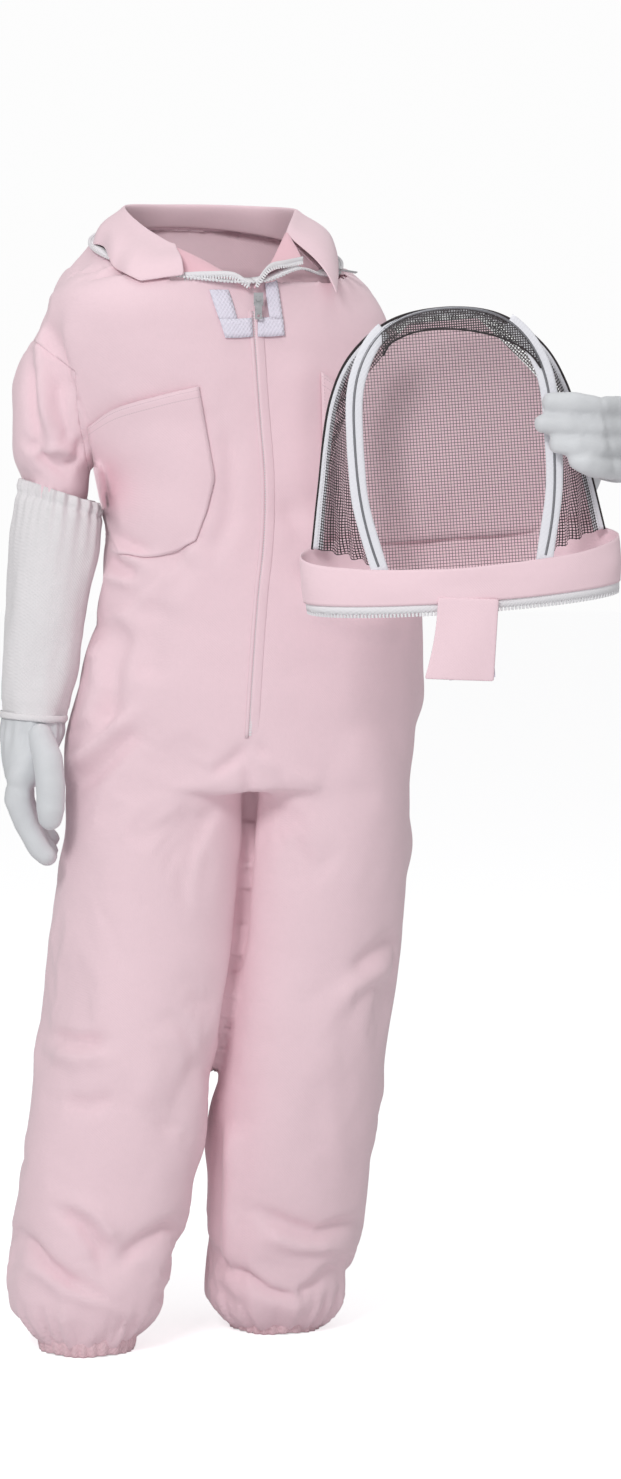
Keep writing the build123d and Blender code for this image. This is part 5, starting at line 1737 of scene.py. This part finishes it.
def hood_front_nets():
    """Window net in level rows up to the brow seam, the seam, and the net above it."""
    seam_x, _, seam_z = to_hood(sight_point(*np.transpose(BROW_SEAM), BROW_SEAM_Y))
    rows = []
    for edge_x, z in resample(FRONT_ARCH, 121)[:58]:
        x = np.linspace(edge_x, -edge_x, 49)
        u = x / max(20.0, abs(edge_x))
        belly = 9.0 * (1 - u ** 2) * math.sin(math.pi * min(1, max(0, z / 300)))
        rows.append(np.stack([x, -50.0 - belly, np.full(49, z)], -1))
    rows = np.array(rows)
    rows[0, :, 2] = 0.0
    window = net_sheet("hood_window_net", rows, WINDOW_NET, rows[..., [0, 2]])

    def above_seam(c):
        x, _, z = to_hood(c)
        return z > np.interp(x, seam_x, seam_z, left=600, right=600) + 1.0

    drop(window, above_seam)
    smooth_shade(window)
    register(window, "hood", "netting", "hood_front_mesh")

    seam = resample(hood_point(seam_x, -56, seam_z), 60)
    register(cord_along("hood_brow_seam", seam, 1.1, around=8), "hood", "netting")

    x = np.linspace(seam_x[0], seam_x[-1], 60)
    low = np.interp(x, seam_x, seam_z)
    crown = front_arch[40:120]
    high = np.maximum(np.interp(x, crown[:, 0], crown[:, 1]), low + 1)
    rows = []
    for t in np.linspace(0, 1, 14):
        y = -57 + 3 * t - 2.5 * math.sin(math.pi * t)
        rows.append(np.stack([x, y + 0 * x, low * (1 - t) + high * t], -1))
    rows = np.array(rows)
    brow = net_sheet("hood_brow_net", rows, BROW_NET, rows[..., [0, 2]])
    register(brow, "hood", "netting")


def hood_side_net():
    """Netting between the two arches, sagging inwards and gathered near its feet."""
    front_y, rear_y = -52.0, 15.0
    along = lengths_along(front_arch)
    low = np.minimum(1, np.abs(arch_share - 0.5) * 2)
    rows, uv = [], []
    for t in np.linspace(0, 1, 26):
        p = front_arch * (1 - t) + rear_arch * t
        inward = np.array([0.0, 120.0]) - p
        inward /= np.linalg.norm(inward, axis=1)[:, None]
        ripple = np.sin(t * FULL_TURN * 4 + 1.5 * np.sin(arch_share * 40))
        gather = 3.0 * ripple * low ** 3
        p = p + inward * ((3.5 + gather) * math.sin(math.pi * t))[:, None]
        y = front_y * (1 - t) + rear_y * t
        rows.append(np.stack([p[:, 0], np.full(ARCH_COUNT, y), p[:, 1]], -1))
        uv.append(np.stack([along, np.full(ARCH_COUNT, t * (rear_y - front_y + 20))], -1))
    piece = net_sheet("hood_side_net", rows, SIDE_NET, uv)
    register(piece, "hood", "netting", "hood_side_mesh")


def back_point(x, distance):
    """Hood axes point on the leaning back cloth."""
    return np.stack([x, 60 - 0.165 * distance, 40 + 0.986 * distance], -1)


def hood_back():
    """Cloth panel with a raised centre seam, and the net between it and the rear arch."""
    rows = []
    for distance, half_width in BACK_ROWS:
        x = np.linspace(-half_width, half_width, 61)
        row = back_point(x, np.full(61, float(distance)))
        lattice = np.stack([x / 45.0, 0 * x + distance / 60.0, 0 * x], -1)
        row[:, 1] += -12.0 * (x / 150.0) ** 2 + value_noise(lattice, 81) * 4.0
        row[:, 1] += 1.2 * bell(x, 0, 2.0)
        rows.append(row)
    panel = grid_obj("hood_back_cloth", hood_points(rows), HOOD_CLOTH)
    apply_mod(panel, "SUBSURF", levels=1)
    thicken(panel, 1.2)
    register(panel, "hood", "coverall_cloth", "hood_back_panel")

    outline = resample(BACK_OUTLINE, ARCH_COUNT)
    inner = back_point(outline[:, 0], outline[:, 1])
    outer = np.stack([rear_arch[:, 0], np.full(ARCH_COUNT, 17.0), rear_arch[:, 1]], -1)
    along = lengths_along(outer)
    depth = np.linalg.norm(inner - outer, axis=1).mean()
    steps = np.linspace(0, 1, 12)
    net = net_sheet("hood_rear_net", [outer * (1 - t) + inner * t for t in steps], SIDE_NET,
                    [np.stack([along, np.full(ARCH_COUNT, t * depth)], -1) for t in steps])
    register(net, "hood", "netting")


def hood_flap():
    """Cloth strip hanging from the front of the rim."""
    down = np.linspace(0, 1, 22)
    right_edge = sight_point(153.0 - 16.8 * down + 3.6 * np.sin(down * 3),
                             171.0 - 98.4 * down, FLAP_Y)
    left_edge = sight_point(226.2 - 6.0 * down, 168.6 - 99.0 * down, FLAP_Y)
    across = np.linspace(0, 1, 17)
    grid = []
    for u, right, left in zip(down, right_edge, left_edge):
        p = right * (1 - across)[:, None] + left * across[:, None]
        p[:, 1] += -1.5 * np.sin(np.pi * across) - 2.0 * math.sin(3 * u)
        p[:, 1] += 0.8 * np.sin(across * 5 + u * 3)
        grid.append(p)
    piece = grid_obj("hood_flap_cloth", grid, HOOD_CLOTH)
    thicken(piece, 2.0, rounded=True)
    register(piece, "hood_flap", "coverall_cloth", "hood_flap")


hood_rim()
hood_straps()
hood_front_nets()
hood_side_net()
hood_back()
hood_flap()

# CAD nodes that stay visible
KEPT_NODES = {
    "hood_flap_hook_patch": LOOP,
    "front_zip_slider": NICKEL, "front_zip_pull": NICKEL,
    "neck_zip_slider": NICKEL, "neck_zip_pull": NICKEL,
    "hood_front_hoop": WIRE, "hood_rear_hoop": WIRE,
    "right_sleeve_elastic": ELASTIC, "left_sleeve_elastic": ELASTIC,
}
for node_name, node_mat in KEPT_NODES.items():
    if node_name in NODES:
        NODES[node_name].data.materials.clear()
        NODES[node_name].data.materials.append(node_mat)


# ---------------------------------------------------------------- stage, light, view
# lengths here are metres in the frame
def build_floor():
    bpy.ops.mesh.primitive_plane_add(size=40, location=(0, 8, -1.284))
    floor = bpy.context.object
    floor.name = "studio_floor"
    floor.data.materials.append(stage_mat())
    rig.stage(floor)


def build_world():
    """White surroundings, brighter to the camera than as a light."""
    world = bpy.data.worlds.new("studio")
    bpy.context.scene.world = world
    world.use_nodes = True
    tree = world.node_tree
    background = tree.nodes["Background"]
    background.inputs[0].default_value = (1.0, 1.0, 1.0, 1)
    path = node(tree, "ShaderNodeLightPath")
    strength = node(tree, "ShaderNodeMapRange", **{"To Min": 0.40, "To Max": 0.98})
    tree.links.new(path.outputs["Is Camera Ray"], strength.inputs["Value"])
    tree.links.new(strength.outputs[0], background.inputs[1])


def area_light(name, place, target, size, power):
    light = bpy.data.lights.new(name, "AREA")
    light.shape = "SQUARE"
    light.size = size
    light.energy = power
    light.color = (1, 1, 1)
    lamp = bpy.data.objects.new(name, light)
    bpy.context.scene.collection.objects.link(lamp)
    lamp.location = place
    aim = Vector(target) - Vector(place)
    lamp.rotation_euler = aim.to_track_quat("-Z", "Y").to_euler()


def build_camera():
    camera = bpy.data.cameras.new("view")
    viewer = bpy.data.objects.new("view", camera)
    bpy.context.scene.collection.objects.link(viewer)
    viewer.location = to_frame(EYE)
    viewer.rotation_euler = (math.radians(90) - TILT, 0, 0)
    camera.sensor_width = 36.0
    camera.lens = 94.3448276
    camera.clip_end = 100
    bpy.context.scene.camera = viewer


build_floor()
build_world()
area_light("key", place=(-1.2, -3.6, 1.7), target=(0.05, 0, -0.4), size=1.1, power=74)
area_light("fill", place=(2.6, -2.6, 0.3), target=(0.1, 0, -0.5), size=2.2, power=5)
area_light("top", place=(0.3, -0.4, 2.6), target=(0.1, -0.1, -0.3), size=2.0, power=17)
build_camera()
bpy.context.scene.view_settings.view_transform = "Standard"

VISUAL_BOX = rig.bounds()
# guards against a missing or read-only work folder
try:
    with open("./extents.json", "w") as size_file:
        json.dump({"cad": [list(map(float, p)) for p in CAD_BOX],
                   "visual": [list(map(float, p)) for p in VISUAL_BOX]}, size_file)
except OSError:
    pass
